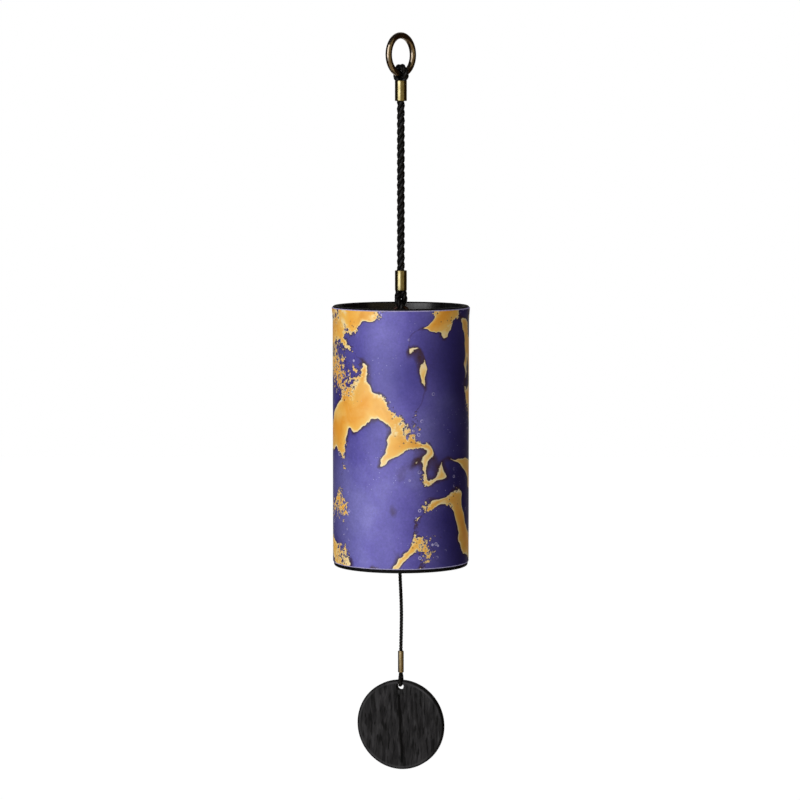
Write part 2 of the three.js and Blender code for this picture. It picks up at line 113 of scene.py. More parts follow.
placeCamera()
print("camera placed")

usual = (0.3, 0.7)  # most of a noise's values lie between these


# Node helpers: each gives the output that the next one takes
def feed(tree, socket, value):  # another node's output, or a plain value
    if isinstance(value, bpy.types.NodeSocket):
        tree.links.new(value, socket)
    else:
        socket.default_value = value


def addNode(tree, kind, inputs=None, **settings):
    made = tree.nodes.new("ShaderNode" + kind)
    for key, value in settings.items():
        setattr(made, key, value)
    for key, value in (inputs or {}).items():
        feed(tree, made.inputs[key], value)
    return made


def place(tree, stretch=(1, 1, 1)):  # the part's own coordinates, in metres
    spot = addNode(tree, "TexCoord").outputs["Object"]
    return addNode(tree, "Mapping", {"Vector": spot, "Scale": stretch}).outputs[0]


def cloud(tree, spot, scale, detail, rough):
    inputs = {"Vector": spot, "Scale": scale, "Detail": detail, "Roughness": rough}
    return addNode(tree, "TexNoise", inputs).outputs[0]


def grain(tree, scale, detail, rough, stretch=(1, 1, 1)):
    return cloud(tree, place(tree, stretch), scale, detail, rough)


def calc(tree, operation, a, b=0.0):
    return addNode(tree, "Math", {0: a, 1: b}, operation=operation).outputs[0]


def times(tree, first, *others):
    for other in others:
        first = calc(tree, "MULTIPLY", first, other)
    return first


def apart(tree, a, b):  # how far a is from b
    return calc(tree, "ABSOLUTE", calc(tree, "SUBTRACT", a, b))


def between(tree, value, low, high, toLow=0.0, toHigh=1.0):
    inputs = {"Value": value, "From Min": low, "From Max": high, "To Min": toLow, "To Max": toHigh}
    return addNode(tree, "MapRange", inputs).outputs[0]


def shades(tree, value, stops):  # a colour ramp of (place, red, green, blue)
    ramp = addNode(tree, "ValToRGB", {0: value})
    marks = ramp.color_ramp.elements
    while len(marks) < len(stops):
        marks.new(0.5)
    for mark, (spot, *colour) in zip(marks, stops):
        mark.position = spot
        mark.color = (*colour, 1)
    return ramp.outputs[0]


def blend(tree, share, a, b, kind="MIX"):
    a, b = [(*side, 1) if isinstance(side, tuple) else side for side in (a, b)]
    inputs = {0: share, 6: a, 7: b}  # the Mix node's factor and its two colours
    return addNode(tree, "Mix", inputs, data_type="RGBA", blend_type=kind).outputs[2]


def newFinish(name, fixed):  # fixed values go on the shader's own sockets
    material = bpy.data.materials.new(name)
    material.use_nodes = True
    tree = material.node_tree
    shader = tree.nodes["Principled BSDF"]
    for key, value in fixed.items():
        shader.inputs[key].default_value = value
    return material, tree, shader


def coat(tree, shader, colour, roughness, height, depth):  # the bump's depth in millimetres
    bump = {"Height": height, "Strength": 1.0, "Distance": depth * mm}
    tree.links.new(colour, shader.inputs["Base Color"])
    if roughness is not None:
        tree.links.new(roughness, shader.inputs["Roughness"])
    tree.links.new(addNode(tree, "Bump", bump).outputs[0], shader.inputs["Normal"])


def plainFinish(name, look):
    # tone, shine and relief are noises of (scale, detail, roughness, stretch) that lead
    # the colour, roughness and bump; the shine follows the tone, and the relief the shine
    material, tree, shader = newFinish(name, look["fixed"])
    tone = grain(tree, *look["tone"])
    shine = grain(tree, *look["shine"]) if "shine" in look else tone
    relief = grain(tree, *look["relief"]) if "relief" in look else shine
    rough = between(tree, shine, *usual, *look["rough"]) if "rough" in look else None
    coat(tree, shader, shades(tree, tone, look["stops"]), rough, relief, look["depth"])
    return material


# Mesh helpers: a shape is a list of points in millimetres and a list of faces
def arc(radius, height, size, start, end, steps):  # profile points, angles in quarter turns
    bends = [spoke(size, turn * math.pi / 2) for turn in stepped(start, end, steps)]
    return [(radius + across, height + up) for across, up in bends]


def turned(profile, sides, x=0.0, y=0.0):  # a profile of (radius, height) about the vertical
    points, rows, faces = [], [], []
    for radius, height in profile:
        count = sides if radius else 1
        rows.append(range(len(points), len(points) + count))
        for side in range(count):
            across, deep = spoke(radius, math.tau * side / sides)
            points.append((x + across, y + deep, height))
    for low, high in zip(rows, rows[1:]):
        for side in range(sides):
            after = (side + 1) % sides
            corners = (low, side), (low, after), (high, after), (high, side)
            faces.append(list(dict.fromkeys(row[at % len(row)] for row, at in corners)))
    return points, [face for face in faces if len(face) > 2]


def roundBar(radius, bottom, top, sides, x=0.0, y=0.0):
    return turned([(0, bottom), (radius, bottom), (radius, top), (0, top)], sides, x, y)


def gridFaces(rows, columns, first=0, closeRows=False, closeColumns=False):
    faces = []
    for row in range(rows if closeRows else rows - 1):
        for column in range(columns if closeColumns else columns - 1):
            after, below = (column + 1) % columns, (row + 1) % rows
            corners = (row, column), (row, after), (below, after), (below, column)
            faces.append([first + a * columns + b for a, b in corners])
    return faces


def wireRing(height, radius, wire, turn, around, sides):  # upright, turned about the vertical
    turning = Matrix.Rotation(math.radians(turn), 3, "Z")
    points = []
    for step in range(around):
        for side in range(sides):
            out, deep = spoke(wire / 2, math.tau * side / sides)
            across, up = spoke(radius + out, math.tau * step / around)
            points.append(turning @ Vector((across, deep, up)) + Vector((0, 0, height)))
    return points, gridFaces(around, sides, closeRows=True, closeColumns=True)


def smoothLine(route, step):  # even steps along a smooth curve through the route's points
    spots = [Vector(spot) for spot in route]
    spots = [2 * spots[0] - spots[1], *spots, 2 * spots[-1] - spots[-2]]
    fine, parts = [], 20
    for a, b, c, d in zip(spots, spots[1:], spots[2:], spots[3:]):
        for part in range(parts):
            t = part / parts
            bend = 2 * b + (c - a) * t
            bend += (2 * a - 5 * b + 4 * c - d) * t ** 2
            bend += (3 * b - a - 3 * c + d) * t ** 3
            fine.append(bend / 2)
    fine.append(spots[-2])
    runs = [0.0]
    for before, after in zip(fine, fine[1:]):
        runs.append(runs[-1] + (after - before).length)
    count = max(2, round(runs[-1] / step))
    line, at = [], 0
    for part in range(count + 1):
        goal = runs[-1] * part / count
        while at < len(runs) - 2 and runs[at + 1] < goal:
            at += 1
        share = (goal - runs[at]) / (runs[at + 1] - runs[at])
        line.append(fine[at].lerp(fine[at + 1], share))
    return line


def heading(line, index):  # the way that a line runs at one of its points
    return (line[min(index + 1, len(line) - 1)] - line[max(index - 1, 0)]).normalized()


def alongLine(line):  # each point's run from the start, and two directions across the line
    run, side, marks = 0.0, None, []
    for index, spot in enumerate(line):
        forward = heading(line, index)
        side = forward.orthogonal() if side is None else side - forward * side.dot(forward)
        side.normalize()
        run += (spot - line[index - 1]).length if index else 0
        marks.append((run, side.copy(), forward.cross(side)))
    return marks


def laidRope(line, make, ends):
    # strands laid round a line; at ends that a ferrule grips, they shrink over the tuck's length
    marks = alongLine(line)
    whole = marks[-1][0]
    share, sides = make["share"], make["sides"]
    points, faces = [], []
    for strand in range(make["strands"]):
        centres, sizes = [], []
        for spot, (run, side, cross) in zip(line, marks):
            size = make["diameter"] / 2
            if ends:
                near = ease(min(run, whole - run), ends["tuck"] / 2, ends["tuck"])
                size *= mix(ends["tuckTo"], 1, near)
            angle = math.tau * (run / make["lay"] + strand / make["strands"])
            out = side * math.cos(angle) + cross * math.sin(angle)
            centres.append(spot + out * size * (1 - share))
            sizes.append(size * share)
        first = len(points)
        for index, centre in enumerate(centres):
            ahead = heading(centres, index)
            out = (centre - line[index]).normalized()
            out = (out - ahead * out.dot(ahead)).normalized()
            over = ahead.cross(out)
            twist = math.tau * marks[index][0] / make["yarnLay"]
            for corner in range(sides):
                angle = math.tau * corner / sides
                ridge = make["ridge"] * math.cos(make["yarns"] * angle - twist)
                reach = sizes[index] * (1 + ridge)
                points.append(centre + (out * math.cos(angle) + over * math.sin(angle)) * reach)
        faces += gridFaces(len(line), sides, first, closeColumns=True)
        faces.append(list(range(first, first + sides)))
        faces.append(list(range(len(points) - sides, len(points))))
    return points, faces


def addMesh(name, shape):
    points, faces = shape
    mesh = bpy.data.meshes.new(name)
    mesh.from_pydata([Vector(spot) * mm for spot in points], [], faces)
    work = bmesh.new()
    work.from_mesh(mesh)
    bmesh.ops.recalc_face_normals(work, faces=work.faces)
    work.to_mesh(mesh)
    work.free()
    made = bpy.data.objects.new(name, mesh)
    scene.collection.objects.link(made)
    return made


weldGap = 0.002  # corners of a cut that are nearer than this become one


def carve(piece, shapes, operation="DIFFERENCE"):  # cuts shapes from a piece, or joins them to it
    tools = [addMesh("tool", shape) for shape in shapes]
    for tool in tools:
        cut = piece.modifiers.new("cut", "BOOLEAN")
        cut.operation = operation
        cut.solver = "EXACT"
        cut.object = tool
    result = piece.evaluated_get(bpy.context.evaluated_depsgraph_get())
    mesh = bpy.data.meshes.new_from_object(result)
    work = bmesh.new()
    work.from_mesh(mesh)
    bmesh.ops.remove_doubles(work, verts=work.verts, dist=weldGap * mm)
    bmesh.ops.dissolve_degenerate(work, edges=work.edges, dist=weldGap * mm)
    work.to_mesh(mesh)
    work.free()
    piece.modifiers.clear()
    piece.data = mesh
    for tool in tools:
        bpy.data.objects.remove(tool)


def settle(piece, body, materials, node, sharp=32):
    # smooth shading up to the sharp angle, finish, and the body that carries the piece
    piece.data.shade_smooth()
    piece.data.set_sharp_from_angle(angle=math.radians(sharp))
    piece.data.materials.clear()
    for material in materials:
        piece.data.materials.append(material)
    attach(piece, body)
    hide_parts(node)
    return piece


# Black cord, for the rope and the thin cords
cordLook = {
    "fixed": {"Specular IOR Level": 0.13},
    "tone": (420, 3, 0.6),
    "stops": ((0.3, 0.0018, 0.0018, 0.002), (0.75, 0.006, 0.0057, 0.006)),
    "shine": (5200, 2, 0.6),  # fibres
    "rough": (0.3, 0.5),
    "depth": 0.04,
}
blackCord = plainFinish("blackCord", cordLook)


def straightRoute(node, steps):
    low, high = span(node)
    return [(0, 0, height) for height in stepped(high.z, low.z, steps)]


def layCord(name, route, make, body, node, ends=None):  # a laid cord, and the line it follows
    line = smoothLine(route, make["step"])
    piece = addMesh(name, laidRope(line, make, ends))
    return settle(piece, body, [blackCord], node), line


# Hanger rope: three strands, laid like the middle stroke of a Z
hangerRope = {
    "diameter": 3.65,
    "strands": 3,
    "share": 0.5,  # of the rope's radius that is a strand's
    "lay": 10.5,
    "yarns": 6,
    "yarnLay": 7.0,
    "ridge": 0.05,
    "sides": 24,
    "step": 0.3,
    "routeSteps": 16,
}
ropeRoute = straightRoute("hanger_rope", hangerRope["routeSteps"])
rope, ropeLine = layCord("hangerRope", ropeRoute, hangerRope, "rope", "hanger_rope")

# The rope's eyes: each end is doubled, and its two legs go into the ferrule
eyeRope = {**hangerRope, "diameter": 3.2, "lay": 8.4, "yarnLay": 5.6}
eyeEnds = {"tuck": 4.8, "tuckTo": 0.56, "leg": 0.86}
upperEye = {
    "bend": 2.76,
    "crown": 0.46,
    "wrap": 42,  # degrees past a half turn at each side of the ring's wire
    "turn": ringTurn + 90,  # across the ring
    "mouth": 1.2,
    "gripped": (4.2, 1.8),  # depths in the ferrule
    "steps": 14,
}


def upperEyeRoute():
    low, high = span("hanging_ring")
    wire = low.z + high.z / 2  # the wire's centre at the ring's bottom
    mouth = span("upper_ferrule")[1].z
    leg = [(eyeEnds["leg"], mouth - depth) for depth in upperEye["gripped"]]
    leg.append((upperEye["mouth"], mouth))
    past = math.radians(upperEye["wrap"])
    bight = []
    for step in range(upperEye["steps"] + 1):
        angle = (math.pi + 2 * past) * step / upperEye["steps"] - past
        reach = upperEye["bend"] + upperEye["crown"] * max(0, math.sin(angle)) ** 3
        across, up = spoke(reach, angle)
        bight.append((across, wire + up))
    flat = [*leg, *bight, *[(-x, z) for x, z in reversed(leg)]]
    turn = Matrix.Rotation(math.radians(upperEye["turn"]), 3, "Z")
    return [turn @ Vector((x, 0, z)) for x, z in flat]


lowerEye = {
    "bend": 2.65,
    "hang": -123.2,  # the bolt eye's wire
    "legs": 1.2,
    "straight": 1.4,
    "mouthShare": 0.8,  # of the way from the gripped legs to the free ones
    "gripped": (4, 1.6),
    "steps": 10,
    "turnSteps": 6,
}


def lowerEyeRoute():
    mouth = span("lower_ferrule")[0].z
    hang, legs, bend = lowerEye["hang"], lowerEye["legs"], lowerEye["bend"]
    turnTop, turnSteps = mouth - lowerEye["straight"], lowerEye["turnSteps"]
    leg = [(eyeEnds["leg"], 0, mouth + depth) for depth in lowerEye["gripped"]]
    leg.append((mix(eyeEnds["leg"], legs, lowerEye["mouthShare"]), 0, mouth))
    for step in range(turnSteps):
        share = ease(step, 0, turnSteps)
        across, deep = spoke(mix(legs, bend, share), share * math.pi / 2)
        leg.append((across, deep, mix(turnTop, hang, step / turnSteps)))
    bight = []
    for step in range(lowerEye["steps"] + 1):
        deep, down = spoke(bend, math.pi * step / lowerEye["steps"])
        bight.append((0, deep, hang - down))
    return [*leg, *bight, *[(-x, -y, z) for x, y, z in reversed(leg)]]


upperEyePiece = layCord(
    "ropeUpperEye", upperEyeRoute(), eyeRope, "rope", "rope_upper_eye", eyeEnds)[0]
lowerEyePiece = layCord(
    "ropeLowerEye", lowerEyeRoute(), eyeRope, "rope_end", "rope_lower_eye", eyeEnds)[0]
print("rope laid, with its two eyes")

# Thin cord of the striker and the sail
thinCord = {
    "diameter": 1.7,
    "strands": 3,
    "share": 0.54,
    "lay": 4.2,
    "yarns": 4,
    "yarnLay": 2.8,
    "ridge": 0.05,
    "sides": 12,
    "step": 0.2,
    "routeSteps": 15,
}
loopEnds = {
    "tuck": 3.4,
    "tuckTo": 0.62,
    "leg": 0.36,
    "gripped": (3.0, 1.2),  # depths in the bead or ferrule
    "mouth": 0.12,  # shares of the way out, and down to where the legs are apart
    "shoulder": (0.7, 0.6),
    "bend": 1.0,
    "corner": 0.3,
}
strikerLoop = {
    "reach": 2.95,
    "apart": 3.45,
    "height": 8.1,
    "crossing": -144.8,
    "upright": -1,  # hangs down
    "turn": 0,
}
sailLoop = {
    "reach": 2.55,
    "apart": 2.7,
    "height": 5.45,
    "crossing": -299.35,
    "upright": 1,
    "turn": sailTurn + 90 + 8,  # through the sail, a little askew
}


def loopRoute(make):  # level across the hole, along both sides and together into bead or ferrule
    reach, top, legsApart = make["reach"], make["height"], make["apart"]
    leg, bend, corner = loopEnds["leg"], loopEnds["bend"], loopEnds["corner"]
    out, down = loopEnds["shoulder"]
    half = [(leg, top + depth) for depth in loopEnds["gripped"]]
    half += [
        (mix(leg, reach, loopEnds["mouth"]), top),
        (mix(leg, reach, out), mix(top, legsApart, down)),
        (reach, legsApart),
        (reach, bend),
        (reach - bend * corner, bend * corner),
        (reach - bend, 0),
    ]
    flat = [*half, *[(-x, z) for x, z in reversed(half)]]
    turn = Matrix.Rotation(math.radians(make["turn"]), 3, "Z")
    return [turn @ Vector((x, 0, make["crossing"] + z * make["upright"])) for x, z in flat]


sailCordSet = (  # x, and the drop from the stop bead's centre
    (0, 0.5), (0, 6), (-0.05, 12), (-0.1, 18), (-0.15, 24), (-0.25, 30), (-0.35, 36), (-0.4, 42),
    (-0.35, 48), (-0.1, 54), (0.15, 60), (0.25, 66), (0.2, 72), (0.08, 78), (0, 83.1), (0, 87.7),
)


def sailCordRoute():
    low, high = span("stop_bead")
    return [(x, 0, (low.z + high.z) / 2 - drop) for x, drop in sailCordSet]


strikerRoute = straightRoute("striker_cord", thinCord["routeSteps"])
strikerLoopPiece = layCord(
    "strikerLoop", loopRoute(strikerLoop), thinCord, "striker_hanger", "striker_loop", loopEnds)[0]
strikerCord, strikerLine = layCord(
    "strikerCord", strikerRoute, thinCord, "striker", "striker_cord")
sailCord, sailLine = layCord("sailCord", sailCordRoute(), thinCord, "sail_line", "sail_cord")
sailLoopPiece = layCord(
    "sailLoop", loopRoute(sailLoop), thinCord, "sail_end", "sail_loop", loopEnds)[0]
print("striker and sail cords laid")

# Metals: colours and roughness run from dark to worn, in spots
metals = {
    "darkBronze": {
        "colours": ((0.125, 0.092, 0.064), (0.23, 0.186, 0.138), (0.36, 0.306, 0.24)),
        "rough": (0.2, 0.11),
        "spots": 300,
        "depth": 0.0005,
    },
    "agedBrass": {
        "colours": ((0.18, 0.144, 0.062), (0.25, 0.214, 0.108), (0.32, 0.285, 0.175)),
        "rough": (0.25, 0.16),
        "spots": 420,
        "depth": 0.0003,
    },
    "dullBrass": {
        "colours": ((0.15, 0.112, 0.06), (0.23, 0.178, 0.1), (0.3, 0.242, 0.145)),
        "rough": (0.5, 0.36),
        "spots": 700,
        "depth": 0.004,
    },
    "coppered": {
        "colours": ((0.014, 0.008, 0.0068), (0.026, 0.0145, 0.012), (0.06, 0.034, 0.028)),
        "rough": (0.5, 0.34),
        "spots": 500,
        "depth": 0.004,
    },
    "braze": {
        "colours": ((0.3, 0.2, 0.08), (0.42, 0.3, 0.13), (0.52, 0.4, 0.2)),
        "rough": (0.48, 0.3),
        "spots": 900,
        "depth": 0.004,
    },
}
patina = {"stops": (0.28, 0.5, 0.74), "spots": (5, 0.62), "finer": 14, "grain": (2, 0.5)}


def metalFinish(name):
    make = metals[name]
    return plainFinish(name, {
        "fixed": {"Metallic": 1.0},
        "tone": (make["spots"], *patina["spots"]),
        "stops": [(at, *colour) for at, colour in zip(patina["stops"], make["colours"])],
        "rough": make["rough"],
        "relief": (make["spots"] * patina["finer"], *patina["grain"]),
        "depth": make["depth"],
    })


# Steel, dulled, with fine lines along the way that it was drawn or rolled
steels = {
    "drawnSteel": {
        "dark": (0.4, 0.4, 0.41),
        "pale": (0.56, 0.57, 0.58),
        "rough": (0.2, 0.36),
        "stretch": (1, 1, 0.03),
    },
    "sheetSteel": {
        "dark": (0.34, 0.34, 0.35),
        "pale": (0.5, 0.5, 0.51),
        "rough": (0.28, 0.46),
        "stretch": (0.06, 1, 1),
    },
}
steelLook = {"fixed": {"Metallic": 0.75}, "tone": (120, 4, 0.6), "depth": 0.004}
steelLines = (1000, 3, 0.6)


def steelFinish(name):
    make = steels[name]
    return plainFinish(name, {
        **steelLook,
        "stops": ((usual[0], *make["dark"]), (usual[1], *make["pale"])),
        "shine": (*steelLines, make["stretch"]),
        "rough": make["rough"],
    })


bronze, brass, dullBrass, copper, brazeMetal = [metalFinish(name) for name in metals]
drawnSteel, sheetSteel = [steelFinish(name) for name in steels]

# Hanging ring
ring = {"turn": ringTurn, "around": 160, "sides": 36}


def makeRing():
    low, high = span("hanging_ring")
    wire = high.z  # the hook is at the inside top of the wire
    radius = (high.z - low.z - wire) / 2
    middle = (low.z + high.z) / 2
    shape = wireRing(middle, radius, wire, ring["turn"], ring["around"], ring["sides"])
    settle(addMesh("hangingRing", shape), "ring", [bronze], "hanging_ring")


makeRing()

# Ferrules: short tubes with rolled lips, gripped on the cord
ropeFerrule = {"bore": 1.95, "lip": 0.38, "lipSteps": 5, "sides": 72}
sailFerrule = {"bore": 0.87, "lip": 0.22, "lipSteps": 5, "sides": 48}


def ferrule(name, make, body, node, material):
    low, high = span(node)
    lip, steps = make["lip"], make["lipSteps"]
    outer, inner = high.x - lip, make["bore"] + lip
    profile = [
        *arc(outer, low.z + lip, lip, 3, 4, steps),
        *arc(outer, high.z - lip, lip, 0, 1, steps),
        *arc(inner, high.z - lip, lip, 1, 2, steps),
        *arc(inner, low.z + lip, lip, 2, 3, steps),
    ]
    shape = turned([*profile, profile[0]], make["sides"])
    return settle(addMesh(name, shape), body, [material], node)


beads = {"bore": 0.95, "mouth": 1.15, "sides": 48, "steps": 14}


def bead(name, body, node):
    low, high = span(node)
    half, middle = (high.z - low.z) / 2, (high.z + low.z) / 2
    rows = stepped(-half, half, beads["steps"])
    profile = [(math.sqrt(high.x ** 2 - row ** 2), middle + row) for row in rows]
    profile += [(beads["mouth"], high.z), (beads["bore"], middle), (beads["mouth"], low.z)]
    shape = turned([*profile, profile[0]], beads["sides"])
    return settle(addMesh(name, shape), body, [brass], node)


upperFerrule = ferrule("upperFerrule", ropeFerrule, "rope", "upper_ferrule", brass)
lowerFerrule = ferrule("lowerFerrule", ropeFerrule, "rope_end", "lower_ferrule", brass)
sailEndFerrule = ferrule("sailFerrule", sailFerrule, "sail_end", "sail_ferrule", dullBrass)
loopBead = bead("loopBead", "striker_hanger", "loop_bead")
stopBead = bead("stopBead", "sail_stop", "stop_bead")

print("ring, ferrules and beads made")

# Tube: black lacquer inside, matt black outside and at both rims
tube = {
    "outer": 31.05,
    "wall": 2.2,
    "round": 0.8,
    "roundSteps": 6,
    "flare": 0.45,
    "flareHeight": 7.0,
    "flareSteps": 12,
    "sides": 256,
}
tubeBlacks = ((0.3, 0.002, 0.002, 0.0022), (0.72, 0.006, 0.0058, 0.006))
lacquerLook = {
    "fixed": {"Specular IOR Level": 0.45},
    "tone": (700, 3, 0.55, (1, 1, 0.12)),  # brushed along the tube
    "stops": tubeBlacks,
    "rough": (0.18, 0.3),
    "relief": (900, 2, 0.5),
    "depth": 0.006,
}
mattLook = {
    "fixed": {"Specular IOR Level": 0.06},
    "tone": (1400, 3, 0.6),
    "stops": tubeBlacks,
    "rough": (0.5, 0.7),
    "depth": 0.012,
}
tubeLow, tubeHigh = span("resonator_tube")


def tubeRadius(height):
    flared = ease(height, tubeHigh.z - tube["flareHeight"], tubeHigh.z)
    return tube["outer"] + tube["flare"] * flared


def makeTube():
    low, high = tubeLow, tubeHigh
    rim, steps = tube["round"], tube["roundSteps"]
    bore = tube["outer"] - tube["wall"]
    flareEnd = high.z - rim
    flare = stepped(high.z - tube["flareHeight"], flareEnd, tube["flareSteps"])[:-1]
    profile = [
        *arc(tube["outer"] - rim, low.z + rim, rim, 3, 4, steps),
        *[(tubeRadius(height), height) for height in flare],
        *arc(tubeRadius(flareEnd) - rim, high.z - rim, rim, 0, 1, steps),
        *arc(bore + rim, high.z - rim, rim, 1, 2, steps),
        *arc(bore + rim, low.z + rim, rim, 2, 3, steps),
    ]
    piece = addMesh("resonatorTube", turned([*profile, profile[0]], tube["sides"]))
    finishes = [plainFinish("blackLacquer", lacquerLook), plainFinish("mattBlack", mattLook)]
    settle(piece, "resonator", finishes, "resonator_tube")
    inside = bore + 0.05  # a little over the bore's facets
    for face in piece.data.polygons:
        face.material_index = int(math.hypot(face.center.x, face.center.y) / mm > inside)


makeTube()

# Printed wrap: violet paper with gold marbling, and the pale fibre of its cut edges, partly a
# painted highlight
wrap = {
    "thickness": 0.45,
    "sink": 0.02,  # of its inner face, over the tube
    "seam": 0.5,
    "cut": 0.4,  # height of the slanted cut at both edges
    "cutThickness": 0.2,
    "columns": 256,
    "rows": 40,
}
# the cut edges' pale colour: the paper's own edge, partly a painted highlight
paperEdgeLook = {
    "fixed": {"Roughness": 0.7, "Specular IOR Level": 0.2},
    "tone": (1500, 3, 0.6),
    "stops": ((0.3, 0.25, 0.22, 0.42), (0.7, 0.5, 0.46, 0.68)),
    "depth": 0.03,
}


def pulled(tree, spot, scale, reach):  # coordinates dragged about by a colour cloud
    drag = addNode(tree, "TexNoise", {"Vector": spot, "Scale": scale, "Detail": 2.0})
    inputs = {0: drag.outputs[1], 1: (0.5, 0.5, 0.5)}
    centred = addNode(tree, "VectorMath", inputs, operation="SUBTRACT")
    inputs = {0: centred.outputs[0], "Scale": reach}
    sized = addNode(tree, "VectorMath", inputs, operation="SCALE")
    return addNode(tree, "VectorMath", {0: spot, 1: sized.outputs[0]}, operation="ADD").outputs[0]


def cells(tree, spot, scale, channel, level):
    # distance to the nearest of some scattered points, and 1 for the points that are picked
    made = addNode(tree, "TexVoronoi", {"Vector": spot, "Scale": scale})
    tint = addNode(tree, "SeparateColor", {0: made.outputs["Color"]}).outputs[channel]
    return made.outputs["Distance"], calc(tree, "GREATER_THAN", tint, level)


violet = {
    "haze": (22, 4, 0.55),
    "stops": ((0.32, 0.062, 0.05, 0.3), (0.5, 0.12, 0.1, 0.43), (0.68, 0.23, 0.215, 0.58)),
    "drag": (30.0, 0.016),  # scale of a drag and how far it pulls, in metres
    "leastShadeAt": -0.006,  # where the painted side shade is least, across the front, in metres
    # painted shade at the sides, partly the print's own deeper violet: where it starts and ends,
    # then its colour
    "sideShadeFit": (0.006, 0.035),
    "deep": (0.013, 0.009, 0.1),
    "mottle": (800, 4, 0.75),
    "mottleFit": (0.25, 0.75, 0.8, 1.18),  # a fit is two values and what they become
}


def violetGround(tree, spot, moved):  # clouded, with painted shade deepening it towards the sides, partly the print's own deeper violet, and the paper's fine mottle
    colour = shades(tree, cloud(tree, moved, *violet["haze"]), violet["stops"])
    # painted shade: darker towards the tube's left and right sides, partly the print's own deeper
    # violet
    across = addNode(tree, "SeparateXYZ", {0: pulled(tree, spot, *violet["drag"])}).outputs[0]
    deep = between(tree, apart(tree, across, violet["leastShadeAt"]), *violet["sideShadeFit"])
    colour = blend(tree, deep, colour, violet["deep"])
    mottle = between(tree, cloud(tree, spot, *violet["mottle"]), *violet["mottleFit"])
    grey = addNode(tree, "CombineColor", {0: mottle, 1: mottle, 2: mottle}).outputs[0]
    return blend(tree, 1.0, colour, grey, "MULTIPLY")


gold = {
    "swirl": (24.0, 0.03),
    "ripple": (150.0, 0.004),
    "vein": (24.0, 2, 0.45),
    "pool": (26.0, 2, 0.5),
    "poolFit": (0.36, 0.68, -0.012, 0.12),
    "behindFit": (0.002, 0.022, 0.0, 0.05),  # thins out behind
    "rag": (620, 3, 0.7),
    "ragFit": (0.5, 0.68, 0.002, 0.06),
    "shareFit": (-0.08, 0.12),
    "edge": 0.4,  # the share at which gold starts
    "stops": (  # from the edge inwards
        (0, 0.96, 0.82, 0.56), (0.03, 0.95, 0.7, 0.3),
        (0.09, 0.93, 0.51, 0.095), (0.36, 0.87, 0.36, 0.035),
    ),
    "pale": (0.95, 0.66, 0.22),
    "paleNoise": (90, 4, 0.6),
    "paleFit": (0.48, 0.78, 0.0, 0.5),
    "burnt": (0.72, 0.29, 0.032),
    "burntNoise": (55, 3, 0.55),
    "burntFit": (0.5, 0.7),
    "burntFrom": (0.02, 0.1),
    "burntShare": 0.75,
    "outline": (0.03, 0.008, 0.022),
    "outlineStops": ((-0.1, 0.0, 0.0, 0.0), (-0.035, 0.7, 0.7, 0.7), (-0.01, 1.0, 1.0, 1.0)),
    "crisp": 0.004,
}


def goldShare(tree, spot, flow, patches):  # how far inside the gold a point is
    # gold runs along the veins, as wide as the pools let it, and is ragged where it froths
    vein = apart(tree, cloud(tree, flow, *gold["vein"]), 0.5)
    pool = between(tree, cloud(tree, flow, *gold["pool"]), *gold["poolFit"])
    depth = addNode(tree, "SeparateXYZ", {0: spot}).outputs[1]
    pool = calc(tree, "SUBTRACT", pool, between(tree, depth, *gold["behindFit"]))
    inside = calc(tree, "SUBTRACT", pool, vein)
    rag = between(tree, cloud(tree, spot, *gold["rag"]), *usual, -1.0, 1.0)
    ragged = times(tree, rag, between(tree, patches, *gold["ragFit"]))
    return between(tree, calc(tree, "ADD", inside, ragged), *gold["shareFit"])


def goldOver(tree, ground, flow, share):
    edge = gold["edge"]
    colour = shades(tree, share, [(edge + at, *rest) for at, *rest in gold["stops"]])
    pale = between(tree, cloud(tree, flow, *gold["paleNoise"]), *gold["paleFit"])
    colour = blend(tree, pale, colour, gold["pale"])
    burnt = between(tree, cloud(tree, flow, *gold["burntNoise"]), *gold["burntFit"])
    inner = between(tree, share, *[edge + at for at in gold["burntFrom"]])
    burnt = times(tree, burnt, inner, gold["burntShare"])
    colour = blend(tree, burnt, colour, gold["burnt"])
    line = shades(tree, share, [(edge + at, *rest) for at, *rest in gold["outlineStops"]])
    ground = blend(tree, line, ground, gold["outline"])
    covered = between(tree, share, edge - gold["crisp"], edge + gold["crisp"])
    return blend(tree, covered, ground, colour)


froth = {
    "patches": (44, 2, 0.5),
    "pore": (0.07, 0.025, 0.05),
    "poreCells": (520, 0, 0.45),  # scale, then the channel and level that pick some cells
    "poreSize": (0.17, 0.25, 1.0, 0.0),
    "porePatches": (0.5, 0.6),
    "poreInside": 0.06,
    "bubble": (0.6, 0.55, 0.8),
    "bubbleCells": (300, 1, 0.66),
    "bubbleRadius": 0.2,
    "bubbleLine": (0.025, 0.06, 0.75, 0.0),
    "bubblePatches": (0.48, 0.56),
    "bubbleOuter": (0.02, 0.16),
    "bubbleInner": (-0.1, -0.02),
    "dot": (0.6, 0.58, 0.85),
    "dotCells": (900, 2, 0.78),
    "dotSize": (0.12, 0.2, 0.7, 0.0),
    "dotPatches": (34, 2, 0.5),
    "dotFit": (0.48, 0.62),
}


